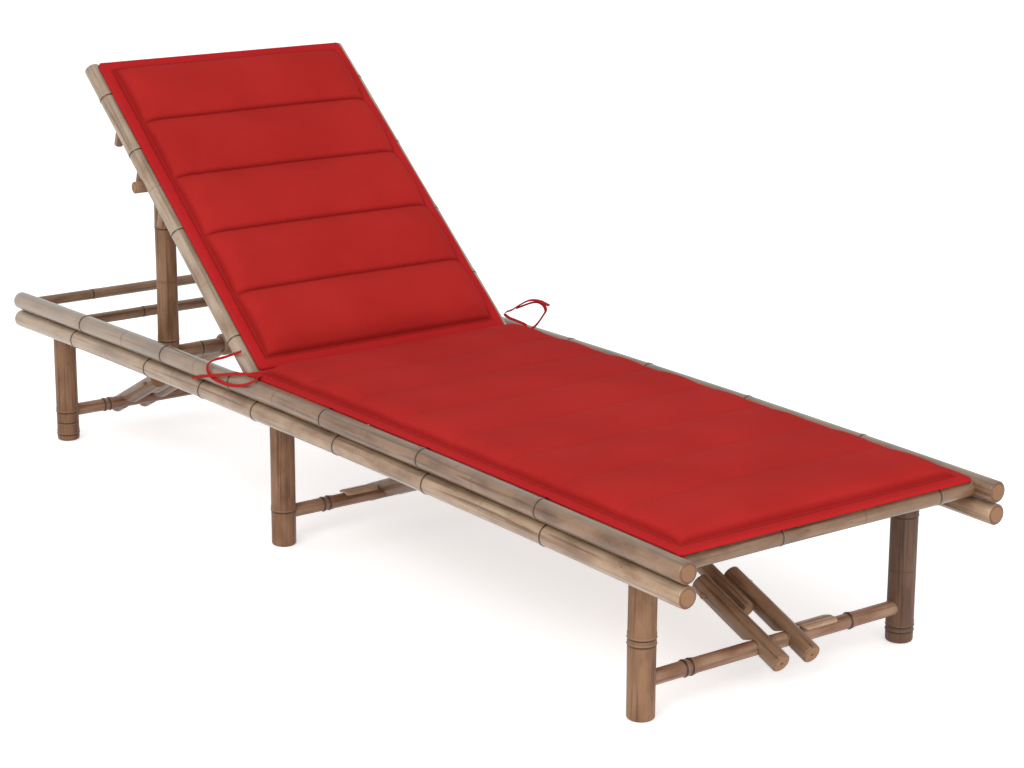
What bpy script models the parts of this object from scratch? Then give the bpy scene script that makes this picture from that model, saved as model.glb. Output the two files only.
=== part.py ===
"""Bamboo sun lounger with a propped back, folding legs and a channelled cushion.

Metres, +Z up. The foot end lies at -Y and the head end at +Y. The origin is on the
ground under the middle of the frame. Places along the frame are measured from its
foot end, and places along the back from its hinge.
"""
import math

import bmesh
import bpy
from mathutils import Vector

# Side rails: two stacked culms a side, sprung upward in the middle
FRAME_LENGTH = 2.0
RAIL_RADIUS = 0.0170
RAIL_SPREAD = 0.3068
RAIL_HEIGHT = 0.2701
RAIL_CAMBER = 0.0115
UPPER_KNOTS = {-1: (0.322, 0.621, 0.895, 1.182, 1.418, 1.723), 1: (0.285, 0.554, 0.810, 1.029, 1.290, 1.620)}
LOWER_KNOTS = {
    -1: (0.309, 0.606, 0.857, 1.108, 1.285, 1.479, 1.761),
    1: (0.240, 0.515, 0.760, 1.010, 1.250, 1.500, 1.780),
}

# The hinge of the back is placed from the head end, the seat takes up the rest
HINGE_FROM_HEAD = 0.8192
HINGE_PLACE = FRAME_LENGTH - HINGE_FROM_HEAD

# Fits: what seats keeps a hair of room, what turns runs free
SEAT_GAP = 0.0003
RUN_GAP = 0.0005
TENON_DEPTH = 0.0120
BORE_RUN_OUT = 0.0040
CHAMFER = 0.0020
KNOT_RISE = 0.0012
KNOT_HALF_WIDTH = 0.0050

# Crossbars between the upper rails
FOOT_BAR_PLACE = 0.045
FOOT_BAR_RADIUS = 0.0135
FOOT_BAR_DROP = 0.0020
FOOT_BAR_KNOTS = (0.200, 0.520)
SEAT_BAR_TO_HINGE = 0.0358
SEAT_BAR_PLACES = {"foot": 0.450, "middle": 0.800, "head": HINGE_PLACE - SEAT_BAR_TO_HINGE}
SEAT_BAR_RADIUS = 0.0120
SEAT_BAR_DROP = 0.0035
HEAD_BAR_INSET = 0.036
HEAD_BAR_SPACING = 0.207
HEAD_BAR_PLACES = {
    "inner": FRAME_LENGTH - HEAD_BAR_INSET - HEAD_BAR_SPACING,
    "outer": FRAME_LENGTH - HEAD_BAR_INSET,
}
HEAD_BAR_RADIUS = 0.0102

# Legs, folding on dowels in the lower rails
FOOT_LEG_INSET = 0.146
MIDDLE_LEG_TO_HINGE = 0.0738
HEAD_LEG_INSET = 0.092
LEG_PLACES = {
    "foot": FOOT_LEG_INSET,
    "middle": HINGE_PLACE - MIDDLE_LEG_TO_HINGE,
    "head": FRAME_LENGTH - HEAD_LEG_INSET,
}
LEG_RADIUS = 0.0215
LEG_CLEARANCE = 0.0055
LEG_HEAD = 0.0180
LEG_PIN_RADIUS = 0.0060
LEG_PIN_REACH = 0.0120
LEG_KNOTS = {"foot": (0.118,), "middle": (0.062,), "head": (0.057, 0.012)}
LEG_FOLD = math.radians(75)
STRETCHER_HEIGHT = 0.0570
STRETCHER_RADIUS = 0.0120
STRETCHER_KNOTS = (0.070, 0.400)

# Braces: a centre pole hung on a crossbar, with a fork of two short poles at its foot
FOOT_BRACE_BAR_PLACE = 0.600
BRACE_BAR_SPACING = 0.060
BRACE_BAR_RADIUS = 0.0135
BRACE_CENTRES = {"foot": 0.0, "middle": -0.022, "head": -0.100}
BRACE_FACING = {"foot": -1, "middle": 1, "head": 1}
CENTRE_POLE_RADIUS = 0.0130
CENTRE_POLE_KNOTS = (0.160,)
FORK_POLE_RADIUS = 0.0160
FORK_GAP = 0.0020
FORK_LENGTH = 0.200
FORK_OVERSHOOT = 0.048
CENTRE_POLE_SHORT = 0.070
FORK_PEG_SHORT = 0.123
FORK_PEG_RADIUS = 0.0050
FORK_PEG_PROUD = 0.0040
EYE_WALL = 0.0065
EYE_WIDTH = 0.0340
NOTCH_DROP = 0.0040
NOTCH_LEAVE = math.radians(41)
NOTCH_MOUTH = math.radians(75)
NOTCH_REACH = 0.050
PITH_RADIUS = 0.0030
PITH_DEPTH = 0.0080
BRACE_FOLDED_RISE = math.radians(3)

# Split-bamboo clips lying on two of the stretchers
CLIP_LENGTH = 0.066
CLIP_WIDTH = 0.030
CLIP_THICKNESS = 0.0035
CLIP_BOW = 0.0025
CLIP_CENTRES = {"foot": 0.082, "middle": -0.106}

# Back frame
BACK_ANGLE = math.radians(40.24)
BACK_POLE_RADIUS = 0.0150
BACK_SIDE_GAP = 0.0073
BACK_SPREAD = RAIL_SPREAD - RAIL_RADIUS - BACK_SIDE_GAP - BACK_POLE_RADIUS
BACK_START = -0.012
BACK_END = 0.732
BACK_KNOTS = {-1: (0.085, 0.330, 0.520, 0.655), 1: (0.140, 0.300, 0.470, 0.640)}
BACK_BAR_PLACES = {"lower": 0.100, "middle": 0.345, "upper": 0.690}
BACK_BAR_RADIUS = 0.0100
BACK_BAR_RISE = 0.0017
BACK_TENON_DEPTH = 0.0080
HINGE_PIN_RADIUS = 0.0050
HINGE_PIN_REACH = 0.0080

# Hook pegs under the back poles, the rod they hold and the posts below it
HOOK_PLACES = (0.399, 0.497, 0.595)
HOOK_IN_USE = 1
HOOK_RADIUS = 0.0080
HOOK_LEAN = math.radians(23)
HOOK_REACH = 0.0440
HOOK_ROOT = 0.0040
ROD_RADIUS = 0.0110
ROD_PROUD = 0.0075
ROD_HALF_LENGTH = BACK_SPREAD + BACK_POLE_RADIUS + ROD_PROUD
ROD_KNOTS = (0.190, 0.430)
POST_RADIUS = 0.0190
POST_SIDE_GAP = 0.0055
POST_SPREAD = BACK_SPREAD - BACK_POLE_RADIUS - POST_SIDE_GAP - POST_RADIUS
PROP_BAR_BEYOND_ROD = 0.00235
POST_FOOT = 0.0240
POST_TOP_SLOPE = math.radians(44)
POST_TOP_SPLAY = {"foot": math.radians(6), "head": math.radians(-8)}
POST_KNOTS = (0.050, 0.262)

# Split-bamboo slats under the cushion
SLAT_WIDTH = 0.0360
SLAT_THICKNESS = 0.0050
SLAT_CROWN = 0.0012
SLAT_SEAT = 0.0005
SLAT_SPANS = 4
SEAT_SLATS = 11
SEAT_SLAT_SIDE_GAP = 0.0268
SEAT_SLAT_START = 0.064
SEAT_SLAT_OVERHANG = 0.012
BACK_SLATS = 10
BACK_SLAT_SIDE_GAP = 0.0140
BACK_SLAT_START = 0.040
BACK_SLAT_SHORT = 0.010

# Cushion, in a seat part and a back part
CUSHION_MARGIN = 0.0100
SEAT_CROWN = 0.0170
SEAT_SEAM_SHARE = 0.65
BACK_CROWN = 0.0260
BACK_SEAM_SHARE = 0.35
SEWN_BORDER = 0.022
SIDE_DRAW = 0.006
SEAT_CUSHION_LAP = 0.0002
SEAT_CUSHION_START = 0.030
CUSHION_OVERHANG = 0.003
SEAT_CHANNELS = 8
BACK_CUSHION_LAP = 0.0025
BACK_CUSHION_START = 0.020
BACK_CHANNELS = 5

# Ribbon ties at the hinge, as routes through hand-placed points: X, place from the hinge, height
TIE_RADIUS = 0.0020
TIE_STEP = 0.0110
TIE_ROUTES = {
    "tie_left_tail": (
        (-0.2895, -0.0408, 0.2997), (-0.2960, -0.0408, 0.3004), (-0.3035, -0.0348, 0.3022),
        (-0.3130, -0.0208, 0.3012), (-0.3225, 0.0042, 0.2965), (-0.3310, 0.0352, 0.2895),
        (-0.3332, 0.0552, 0.2845), (-0.3325, 0.0752, 0.2790), (-0.3270, 0.1132, 0.2685),
    ),
    "tie_left_loop": (
        (-0.2893, -0.0568, 0.2995), (-0.2960, -0.0598, 0.3004), (-0.3065, -0.0688, 0.3025),
        (-0.3195, -0.0718, 0.2985), (-0.3268, -0.0508, 0.2895), (-0.3285, -0.0178, 0.2830),
        (-0.3285, 0.0152, 0.2815), (-0.3280, 0.0462, 0.2840), (-0.3250, 0.0662, 0.2930),
        (-0.3180, 0.0732, 0.3010), (-0.3060, 0.0712, 0.3060), (-0.2960, 0.0592, 0.3110),
        (-0.2890, 0.0412, 0.3190), (-0.2860, 0.0162, 0.3290),
    ),
    "tie_right_tail": (
        (0.2902, -0.0328, 0.2997), (0.2945, -0.0328, 0.3001), (0.2975, -0.0238, 0.3018),
        (0.2980, 0.0032, 0.3035), (0.2975, 0.0232, 0.3048), (0.2960, 0.0332, 0.3095),
        (0.2945, 0.0262, 0.3160), (0.2940, 0.0092, 0.3230), (0.2935, -0.0138, 0.3363),
        (0.2930, -0.0438, 0.3510), (0.2930, -0.0738, 0.3560), (0.2930, -0.1038, 0.3530),
    ),
    "tie_right_loop": (
        (0.2893, -0.0528, 0.2996), (0.2955, -0.0548, 0.3020), (0.3000, -0.0608, 0.3100),
        (0.3020, -0.0718, 0.3240), (0.3030, -0.0808, 0.3380), (0.3030, -0.0738, 0.3470),
        (0.3030, -0.0568, 0.3490), (0.3030, -0.0348, 0.3430), (0.3020, -0.0148, 0.3345),
        (0.3000, 0.0032, 0.3265),
    ),
}

LEFT = -1
RIGHT = 1
SIDE_NAMES = {LEFT: "left", RIGHT: "right"}


def from_foot(place):
    """World Y of a place measured from the frame's foot end."""
    return place - FRAME_LENGTH / 2


def camber_rise(place):
    """How far the sprung rails stand above their end height: a parabola, highest in the middle."""
    return RAIL_CAMBER * (1 - (2 * place / FRAME_LENGTH - 1) ** 2)


def upper_height(place):
    """Height of the upper rails' axis."""
    return RAIL_HEIGHT + camber_rise(place)


def lower_height(place):
    """Height of the lower rails' axis: the rails lie on each other at their knots."""
    return upper_height(place) - 2 * RAIL_RADIUS - KNOT_RISE - SEAT_GAP


def rod_place():
    """Where the rod lies in the back's frame: in the corner between the pole and the hook in use."""
    drop = BACK_POLE_RADIUS + ROD_RADIUS + SEAT_GAP
    beside_hook = (HOOK_RADIUS + ROD_RADIUS + SEAT_GAP) / math.cos(HOOK_LEAN)
    return HOOK_PLACES[HOOK_IN_USE] - drop * math.tan(HOOK_LEAN) - beside_hook, -drop


def rod_from_hinge():
    """How far the rod lies beyond the hinge and above it, with the back propped."""
    along, depth = rod_place()
    reach = along * math.cos(BACK_ANGLE) - depth * math.sin(BACK_ANGLE)
    return reach, along * math.sin(BACK_ANGLE) + depth * math.cos(BACK_ANGLE)


BRACE_BAR_PLACES = {
    "foot": FOOT_BRACE_BAR_PLACE,
    "middle": FOOT_BRACE_BAR_PLACE + BRACE_BAR_SPACING,
    "head": HINGE_PLACE + rod_from_hinge()[0] + PROP_BAR_BEYOND_ROD,
}


def finish(name, colour, roughness):
    """A material with one base colour."""
    material = bpy.data.materials.new(name)
    material.use_nodes = True
    shader = material.node_tree.nodes["Principled BSDF"]
    shader.inputs["Base Color"].default_value = (*colour, 1.0)
    shader.inputs["Roughness"].default_value = roughness
    shader.inputs["Metallic"].default_value = 0.0
    material.diffuse_color = (*colour, 1.0)
    return material


def piece_from(name, verts, faces, colour, roughness=0.6):
    """A named object with its own material, smooth where it is round."""
    mesh = bpy.data.meshes.new(name)
    mesh.from_pydata([tuple(v) for v in verts], [], faces)
    mesh.materials.append(finish(name, colour, roughness))
    piece = bpy.data.objects.new(name, mesh)
    bpy.context.collection.objects.link(piece)
    mesh.shade_smooth()
    mesh.set_sharp_from_angle(angle=math.radians(40))
    return piece


def ring_frame(direction):
    """Two unit vectors square to a direction, the same for every piece along it."""
    up = Vector((0, 0, 1)) if abs(direction.z) < 0.9 else Vector((0, 1, 0))
    side = direction.cross(up).normalized()
    return side, side.cross(direction).normalized()


def culm_stations(length, radius, knots, chamfer):
    """Distances and radii along a culm: its cut ends, rounded where they show, and a ridge at each knot."""
    stations = [(0.0, radius - chamfer), (chamfer, radius)] if chamfer else [(0.0, radius)]
    for knot in sorted(knots):
        stations.append((knot - KNOT_HALF_WIDTH, radius))
        stations.append((knot, radius + KNOT_RISE))
        stations.append((knot + KNOT_HALF_WIDTH, radius))
    stations += [(length - chamfer, radius), (length, radius - chamfer)] if chamfer else [(length, radius)]
    return stations


def culm_mesh(start, end, radius, sides, knots=(), chamfer=CHAMFER, bend=None):
    """Rings of a round culm along a straight line, shifted by bend(distance) where it is sprung."""
    start, end = Vector(start), Vector(end)
    length = (end - start).length
    direction = (end - start).normalized()
    side, up = ring_frame(direction)
    stations = culm_stations(length, radius, knots, chamfer)
    verts = []
    for distance, ring_radius in stations:
        centre = start + direction * distance
        if bend:
            centre = centre + bend(distance)
        for step in range(sides):
            turn = 2 * math.pi * (step + 0.5) / sides
            verts.append(centre + ring_radius * (math.cos(turn) * side + math.sin(turn) * up))
    faces = [tuple(range(sides))]
    for ring in range(len(stations) - 1):
        for step in range(sides):
            a, b = ring * sides + step, ring * sides + (step + 1) % sides
            faces.append((a, a + sides, b + sides, b))
    last = (len(stations) - 1) * sides
    faces.append(tuple(last + step for step in reversed(range(sides))))
    return verts, faces


def culm(name, start, end, radius, colour, sides=16, knots=(), chamfer=CHAMFER, bend=None):
    """A round pole of bamboo or a turned dowel."""
    verts, faces = culm_mesh(start, end, radius, sides, knots, chamfer, bend)
    return piece_from(name, verts, faces, colour)


def tool_body(verts, faces):
    """A temporary solid that cuts or joins another."""
    mesh = bpy.data.meshes.new("tool")
    mesh.from_pydata([tuple(v) for v in verts], [], faces)
    tool = bpy.data.objects.new("tool", mesh)
    bpy.context.collection.objects.link(tool)
    return tool


def bore_body(start, end, radius, sides=16):
    """A straight round cutter."""
    return tool_body(*culm_mesh(start, end, radius, sides, chamfer=0))


def apply_boolean(piece, operation, tools):
    """Cut each tool from the piece, or join it, and drop the tool."""
    for tool in tools:
        modifier = piece.modifiers.new("joinery", "BOOLEAN")
        modifier.operation = operation
        modifier.solver = "EXACT"
        modifier.object = tool
        graph = bpy.context.evaluated_depsgraph_get()
        shaped = bpy.data.meshes.new_from_object(piece.evaluated_get(graph))
        piece.modifiers.clear()
        piece.data = shaped
        bpy.data.objects.remove(tool)
    piece.data.shade_smooth()
    piece.data.set_sharp_from_angle(angle=math.radians(40))


def cut(piece, *tools):
    apply_boolean(piece, "DIFFERENCE", tools)


def join(piece, *tools):
    apply_boolean(piece, "UNION", tools)


def axis_at(name, place, height, tilt=0.0):
    """An empty on a joint's axis, along X; what it carries is modelled from it."""
    axis = bpy.data.objects.new(name, None)
    axis.location = (0, from_foot(place), height)
    axis.rotation_euler = (tilt, 0, 0)
    bpy.context.collection.objects.link(axis)
    return axis


PALE_CANE = (0.37, 0.27, 0.18)
GREY_CANE = (0.31, 0.24, 0.17)
BROWN_CANE = (0.24, 0.15, 0.08)
DARK_CANE = (0.16, 0.09, 0.05)
CANVAS_RED = (0.45, 0.025, 0.022)


def crossbar(name, place, height, radius, colour, knots=()):
    """A bar between the rails, its ends let into them."""
    reach = RAIL_SPREAD - RAIL_RADIUS + TENON_DEPTH
    y = from_foot(place)
    return culm(name, (-reach, y, height), (reach, y, height), radius, colour, knots=knots, chamfer=0)


def rail_socket(side, place, height, radius, depth=TENON_DEPTH):
    """The blind hole in a rail's inner side that takes a bar or a dowel."""
    inner = side * (RAIL_SPREAD - 2 * RAIL_RADIUS)
    bottom = side * (RAIL_SPREAD - RAIL_RADIUS + depth + SEAT_GAP)
    y = from_foot(place)
    ends = sorted((inner, bottom))
    return bore_body((ends[0], y, height), (ends[1], y, height), radius + SEAT_GAP)


def leg_centre(side):
    """X of a leg's axis: just inside the rails, so that it clears them as it folds."""
    return side * (RAIL_SPREAD - RAIL_RADIUS - LEG_CLEARANCE - LEG_RADIUS)


def leg_dowel(side, place):
    """The dowel glued into a lower rail, on which a leg folds."""
    tip = leg_centre(side) + side * (LEG_RADIUS - LEG_PIN_REACH)
    y, z = from_foot(place), lower_height(place)
    ends = sorted((tip, side * RAIL_SPREAD))
    return bore_body((ends[0], y, z), (ends[1], y, z), LEG_PIN_RADIUS)


def make_rails():
    """Upper and lower rails with a socket for each bar and dowel they hold."""
    upper_bars = [(FOOT_BAR_PLACE, upper_height(FOOT_BAR_PLACE) - FOOT_BAR_DROP, FOOT_BAR_RADIUS)]
    for place in SEAT_BAR_PLACES.values():
        upper_bars.append((place, upper_height(place) - SEAT_BAR_DROP, SEAT_BAR_RADIUS))
    for place in HEAD_BAR_PLACES.values():
        upper_bars.append((place, upper_height(place), HEAD_BAR_RADIUS))
    upper_bars.append((HINGE_PLACE, upper_height(HINGE_PLACE), HINGE_PIN_RADIUS))
    lower_bars = [(place, lower_height(place), BRACE_BAR_RADIUS) for place in BRACE_BAR_PLACES.values()]

    for side in (LEFT, RIGHT):
        for level, knots, height_at, bars in (
            ("upper", UPPER_KNOTS, upper_height, upper_bars),
            ("lower", LOWER_KNOTS, lower_height, lower_bars),
        ):
            start = (side * RAIL_SPREAD, from_foot(0), height_at(0))
            end = (side * RAIL_SPREAD, from_foot(FRAME_LENGTH), height_at(FRAME_LENGTH))
            rail = culm(
                f"{level}_rail_{SIDE_NAMES[side]}", start, end, RAIL_RADIUS, PALE_CANE,
                knots=knots[side], bend=lambda distance: Vector((0, 0, camber_rise(distance))),
            )
            cut(rail, *[rail_socket(side, *bar) for bar in bars])
            if level == "lower":
                join(rail, *[leg_dowel(side, place) for place in LEG_PLACES.values()])


def make_crossbars():
    """Bars between the upper rails, and the three between the lower rails that carry braces and posts."""
    crossbar("foot_bar", FOOT_BAR_PLACE, upper_height(FOOT_BAR_PLACE) - FOOT_BAR_DROP,
             FOOT_BAR_RADIUS, GREY_CANE, knots=FOOT_BAR_KNOTS)
    for where, place in HEAD_BAR_PLACES.items():
        crossbar(f"head_bar_{where}", place, upper_height(place), HEAD_BAR_RADIUS, GREY_CANE)
    for where, place in BRACE_BAR_PLACES.items():
        name = "prop_bar" if where == "head" else f"brace_bar_{where}"
        crossbar(name, place, lower_height(place), BRACE_BAR_RADIUS, BROWN_CANE)


def group_meshes(name, parts, colour):
    """Several separate solids of one kind in one piece."""
    verts, faces = [], []
    for part_verts, part_faces in parts:
        base = len(verts)
        verts += part_verts
        faces += [tuple(base + index for index in face) for face in part_faces]
    return piece_from(name, verts, faces, colour)


def make_hinge_pins():
    """A blind dowel a side in the upper rails, on which the back turns."""
    rail_end = RAIL_SPREAD - RAIL_RADIUS + TENON_DEPTH
    pole_end = BACK_SPREAD + BACK_POLE_RADIUS - HINGE_PIN_REACH
    y, z = from_foot(HINGE_PLACE), upper_height(HINGE_PLACE)
    for side in (LEFT, RIGHT):
        ends = sorted((side * rail_end, side * pole_end))
        name = f"hinge_pin_{SIDE_NAMES[side]}"
        culm(name, (ends[0], y, z), (ends[1], y, z), HINGE_PIN_RADIUS, DARK_CANE, chamfer=0)


def side_bore(side, surface, depth, y, z, radius, start_outside):
    """A blind bore along X into a piece from its side face."""
    outer = side * (surface + start_outside)
    inner = side * (surface - depth)
    ends = sorted((outer, inner))
    return bore_body((ends[0], y, z), (ends[1], y, z), radius)


def make_leg_pair(where):
    """Two legs and their stretcher, modelled from the fold axis, with the clip that lies on the stretcher."""
    place = LEG_PLACES[where]
    pivot = lower_height(place)
    axis = axis_at(f"{where}_leg_axis", place, pivot)
    bar_z = STRETCHER_HEIGHT - pivot
    inner_face = abs(leg_centre(RIGHT)) - LEG_RADIUS
    for side in (LEFT, RIGHT):
        x = leg_centre(side)
        leg = culm(
            f"{where}_leg_{SIDE_NAMES[side]}", (x, 0, -pivot), (x, 0, LEG_HEAD), LEG_RADIUS, BROWN_CANE,
            sides=14, knots=LEG_KNOTS[where],
        )
        dowel_bore = side_bore(
            side, abs(x) + LEG_RADIUS, LEG_PIN_REACH + RUN_GAP, 0, 0, LEG_PIN_RADIUS + RUN_GAP, BORE_RUN_OUT,
        )
        socket_bottom = inner_face + TENON_DEPTH + SEAT_GAP
        socket = side_bore(side, socket_bottom, 2 * TENON_DEPTH, 0, bar_z, STRETCHER_RADIUS + SEAT_GAP, 0)
        cut(leg, dowel_bore, socket)
        leg.parent = axis
    reach = inner_face + TENON_DEPTH
    stretcher = culm(
        f"{where}_stretcher", (-reach, 0, bar_z), (reach, 0, bar_z), STRETCHER_RADIUS, BROWN_CANE,
        knots=STRETCHER_KNOTS, chamfer=0,
    )
    stretcher.parent = axis
    if where in CLIP_CENTRES:
        make_clip(where, bar_z + STRETCHER_RADIUS + SEAT_GAP).parent = axis


def make_clip(where, height):
    """A short strip of split bamboo: an arc of the culm's wall, lying along the stretcher."""
    centre = CLIP_CENTRES[where]
    steps = 4
    verts, faces = [], []
    for x in (centre - CLIP_LENGTH / 2, centre + CLIP_LENGTH / 2):
        for level in (0.0, CLIP_THICKNESS):
            for step in range(steps + 1):
                across = 2 * step / steps - 1
                verts.append((x, across * CLIP_WIDTH / 2, height + level - CLIP_BOW * across ** 2))
    row = steps + 1
    near, far = 0, 2 * row
    for step in range(steps):
        faces.append((near + step, near + step + 1, far + step + 1, far + step))
        faces.append((near + row + step, far + row + step, far + row + step + 1, near + row + step + 1))
    faces.append((near, far, far + row, near + row))
    faces.append((near + steps, near + row + steps, far + row + steps, far + steps))
    faces.append(tuple(range(near, near + row))[::-1] + tuple(range(near + row, near + 2 * row)))
    faces.append(tuple(range(far, far + row)) + tuple(range(far + row, far + 2 * row))[::-1])
    clip = piece_from(f"{where}_clip", verts, faces, GREY_CANE)
    face_outward(clip)
    return clip


def face_outward(piece):
    """Turn a closed mesh's faces to point out."""
    work = bmesh.new()
    work.from_mesh(piece.data)
    bmesh.ops.recalc_face_normals(work, faces=work.faces)
    work.to_mesh(piece.data)
    work.free()


def brace_geometry(where):
    """Where a brace's stretcher lies in the brace's own frame, and how steeply the brace hangs at rest."""
    run = abs(LEG_PLACES[where] - BRACE_BAR_PLACES[where])
    drop = lower_height(BRACE_BAR_PLACES[where]) - STRETCHER_HEIGHT
    reach = math.hypot(run, drop)
    rise = math.atan2(drop, run) - math.asin(NOTCH_DROP / reach)
    return math.sqrt(reach ** 2 - NOTCH_DROP ** 2), rise


def prism_along_x(outline, start, end):
    """A cutter with the given outline in Y and Z, from one X to another."""
    count = len(outline)
    verts = [(x, y, z) for x in (start, end) for y, z in outline]
    faces = [tuple(range(count)), tuple(reversed(range(count, 2 * count)))]
    for step in range(count):
        after = (step + 1) % count
        faces.append((step, step + count, after + count, after))
    prism = tool_body(verts, faces)
    face_outward(prism)
    return prism


def notch_body(x, facing, along):
    """The cutter for a fork pole's notch: a seat round the stretcher, open below and up the slope."""
    radius = STRETCHER_RADIUS + RUN_GAP
    first = math.pi / 2 - NOTCH_LEAVE
    last = 3 * math.pi / 2 - NOTCH_MOUTH
    steps = 10
    outline = []
    for step in range(steps + 1):
        turn = first + (last - first) * step / steps
        outline.append((radius * math.cos(turn), radius * math.sin(turn)))
    end, begin = outline[-1], outline[0]
    for (across, height), mouth in ((end, NOTCH_MOUTH), (begin, NOTCH_LEAVE)):
        outline.append((across + NOTCH_REACH * math.cos(mouth), height - NOTCH_REACH * math.sin(mouth)))
    outline = [(facing * (along - up_slope), height - NOTCH_DROP) for up_slope, height in outline]
    return prism_along_x(outline, x - 2 * FORK_POLE_RADIUS, x + 2 * FORK_POLE_RADIUS)


def make_brace(where):
    """One brace: the centre pole with its eye round the crossbar, two fork poles and the peg through them."""
    along, rise = brace_geometry(where)
    facing = BRACE_FACING[where]
    centre = BRACE_CENTRES[where]
    place = BRACE_BAR_PLACES[where]
    axis = axis_at(f"{where}_brace_axis", place, lower_height(place), tilt=-facing * rise)
    peg_along = along - FORK_PEG_SHORT
    fork_offset = CENTRE_POLE_RADIUS + FORK_GAP + FORK_POLE_RADIUS

    def peg_bore():
        return bore_body(
            (centre - 2 * fork_offset, facing * peg_along, 0),
            (centre + 2 * fork_offset, facing * peg_along, 0),
            FORK_PEG_RADIUS + SEAT_GAP, sides=12,
        )

    pole = culm(
        f"{where}_brace_pole", (centre, 0, 0), (centre, facing * (along - CENTRE_POLE_SHORT), 0),
        CENTRE_POLE_RADIUS, BROWN_CANE, sides=14, knots=CENTRE_POLE_KNOTS,
    )
    eye_radius = BRACE_BAR_RADIUS + RUN_GAP + EYE_WALL
    half_eye = EYE_WIDTH / 2
    join(pole, bore_body((centre - half_eye, 0, 0), (centre + half_eye, 0, 0), eye_radius))
    cut(
        pole,
        bore_body((centre - EYE_WIDTH, 0, 0), (centre + EYE_WIDTH, 0, 0), BRACE_BAR_RADIUS + RUN_GAP),
        peg_bore(),
    )
    pole.parent = axis

    for side in (LEFT, RIGHT):
        x = centre + side * fork_offset
        low_end = along + FORK_OVERSHOOT
        fork = culm(
            f"{where}_fork_{SIDE_NAMES[side]}",
            (x, facing * (low_end - FORK_LENGTH), 0), (x, facing * low_end, 0),
            FORK_POLE_RADIUS, BROWN_CANE, sides=14,
        )
        pith = bore_body(
            (x, facing * (low_end - PITH_DEPTH), 0), (x, facing * (low_end + PITH_DEPTH), 0),
            PITH_RADIUS, sides=8,
        )
        cut(fork, notch_body(x, facing, along), peg_bore(), pith)
        fork.parent = axis

    proud = fork_offset + FORK_POLE_RADIUS + FORK_PEG_PROUD
    peg = culm(
        f"{where}_fork_peg", (centre - proud, facing * peg_along, 0), (centre + proud, facing * peg_along, 0),
        FORK_PEG_RADIUS, DARK_CANE, sides=12, chamfer=0,
    )
    peg.parent = axis


def make_back():
    """The hinged back frame: poles, bars, hook pegs and the rod that the hooks hold."""
    axis = axis_at("back_axis", HINGE_PLACE, upper_height(HINGE_PLACE), tilt=BACK_ANGLE)
    inner_face = BACK_SPREAD - BACK_POLE_RADIUS
    bar_end = inner_face + BACK_TENON_DEPTH
    for side in (LEFT, RIGHT):
        x = side * BACK_SPREAD
        pole = culm(
            f"back_pole_{SIDE_NAMES[side]}",
            (x, BACK_START, 0), (x, BACK_END, 0), BACK_POLE_RADIUS, GREY_CANE,
            knots=[knot - BACK_START for knot in BACK_KNOTS[side]],
        )
        sockets = [side_bore(
            side, BACK_SPREAD + BACK_POLE_RADIUS, HINGE_PIN_REACH + RUN_GAP, 0, 0,
            HINGE_PIN_RADIUS + RUN_GAP, BORE_RUN_OUT,
        )]
        for place in BACK_BAR_PLACES.values():
            sockets.append(side_bore(
                side, bar_end + SEAT_GAP, 2 * BACK_TENON_DEPTH, place, BACK_BAR_RISE,
                BACK_BAR_RADIUS + SEAT_GAP, 0,
            ))
        pegs = []
        line = Vector((0, -math.sin(HOOK_LEAN), -math.cos(HOOK_LEAN)))
        for place in HOOK_PLACES:
            root = Vector((x, place, 0))
            tip = root + line * HOOK_REACH
            pegs.append(culm_mesh(root - line * HOOK_ROOT, tip, HOOK_RADIUS, 12, chamfer=0))
            bottom = root - line * (HOOK_ROOT + SEAT_GAP)
            sockets.append(bore_body(bottom, tip, HOOK_RADIUS + SEAT_GAP, sides=12))
        cut(pole, *sockets)
        pole.parent = axis
        for level, peg in zip(("low", "middle", "high"), pegs):
            hook = piece_from(f"hook_peg_{level}_{SIDE_NAMES[side]}", *peg, BROWN_CANE)
            hook.parent = axis
    along, depth = rod_place()
    rod = culm(
        "prop_rod", (-ROD_HALF_LENGTH, along, depth), (ROD_HALF_LENGTH, along, depth), ROD_RADIUS, BROWN_CANE,
        sides=16, knots=ROD_KNOTS,
    )
    rod.parent = axis
    return axis


def make_posts():
    """Two posts on the prop bar. Each top is cut to a blunt ridge, and the rod lies on the ridge."""
    place = BRACE_BAR_PLACES["head"]
    pivot = lower_height(place)
    axis = axis_at("prop_axis", place, pivot)
    reach, height = rod_from_hinge()
    rod_y = HINGE_PLACE + reach - place
    rod_z = upper_height(HINGE_PLACE) + height - pivot
    rest = ROD_RADIUS + SEAT_GAP
    ridge_y = rod_y + rest * math.sin(POST_TOP_SLOPE)
    ridge_z = rod_z - rest * math.cos(POST_TOP_SLOPE)
    above = rod_z + 2 * POST_RADIUS
    reach = 2 * POST_RADIUS
    foot_drop = reach * math.tan(POST_TOP_SLOPE + POST_TOP_SPLAY["foot"])
    head_rise = reach * math.tan(POST_TOP_SLOPE + POST_TOP_SPLAY["head"])
    outline = (
        (ridge_y - reach, ridge_z - foot_drop), (ridge_y, ridge_z), (ridge_y + reach, ridge_z + head_rise),
        (ridge_y + reach, above), (ridge_y - reach, above),
    )
    for side in (LEFT, RIGHT):
        x = side * POST_SPREAD
        post = culm(
            f"prop_post_{SIDE_NAMES[side]}", (x, 0, -POST_FOOT), (x, 0, rod_z + POST_RADIUS), POST_RADIUS,
            BROWN_CANE, knots=POST_KNOTS,
        )
        bar_bore = bore_body((x - reach, 0, 0), (x + reach, 0, 0), BRACE_BAR_RADIUS + RUN_GAP)
        cut(post, prism_along_x(outline, x - reach, x + reach), bar_bore)
        post.parent = axis


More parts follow.
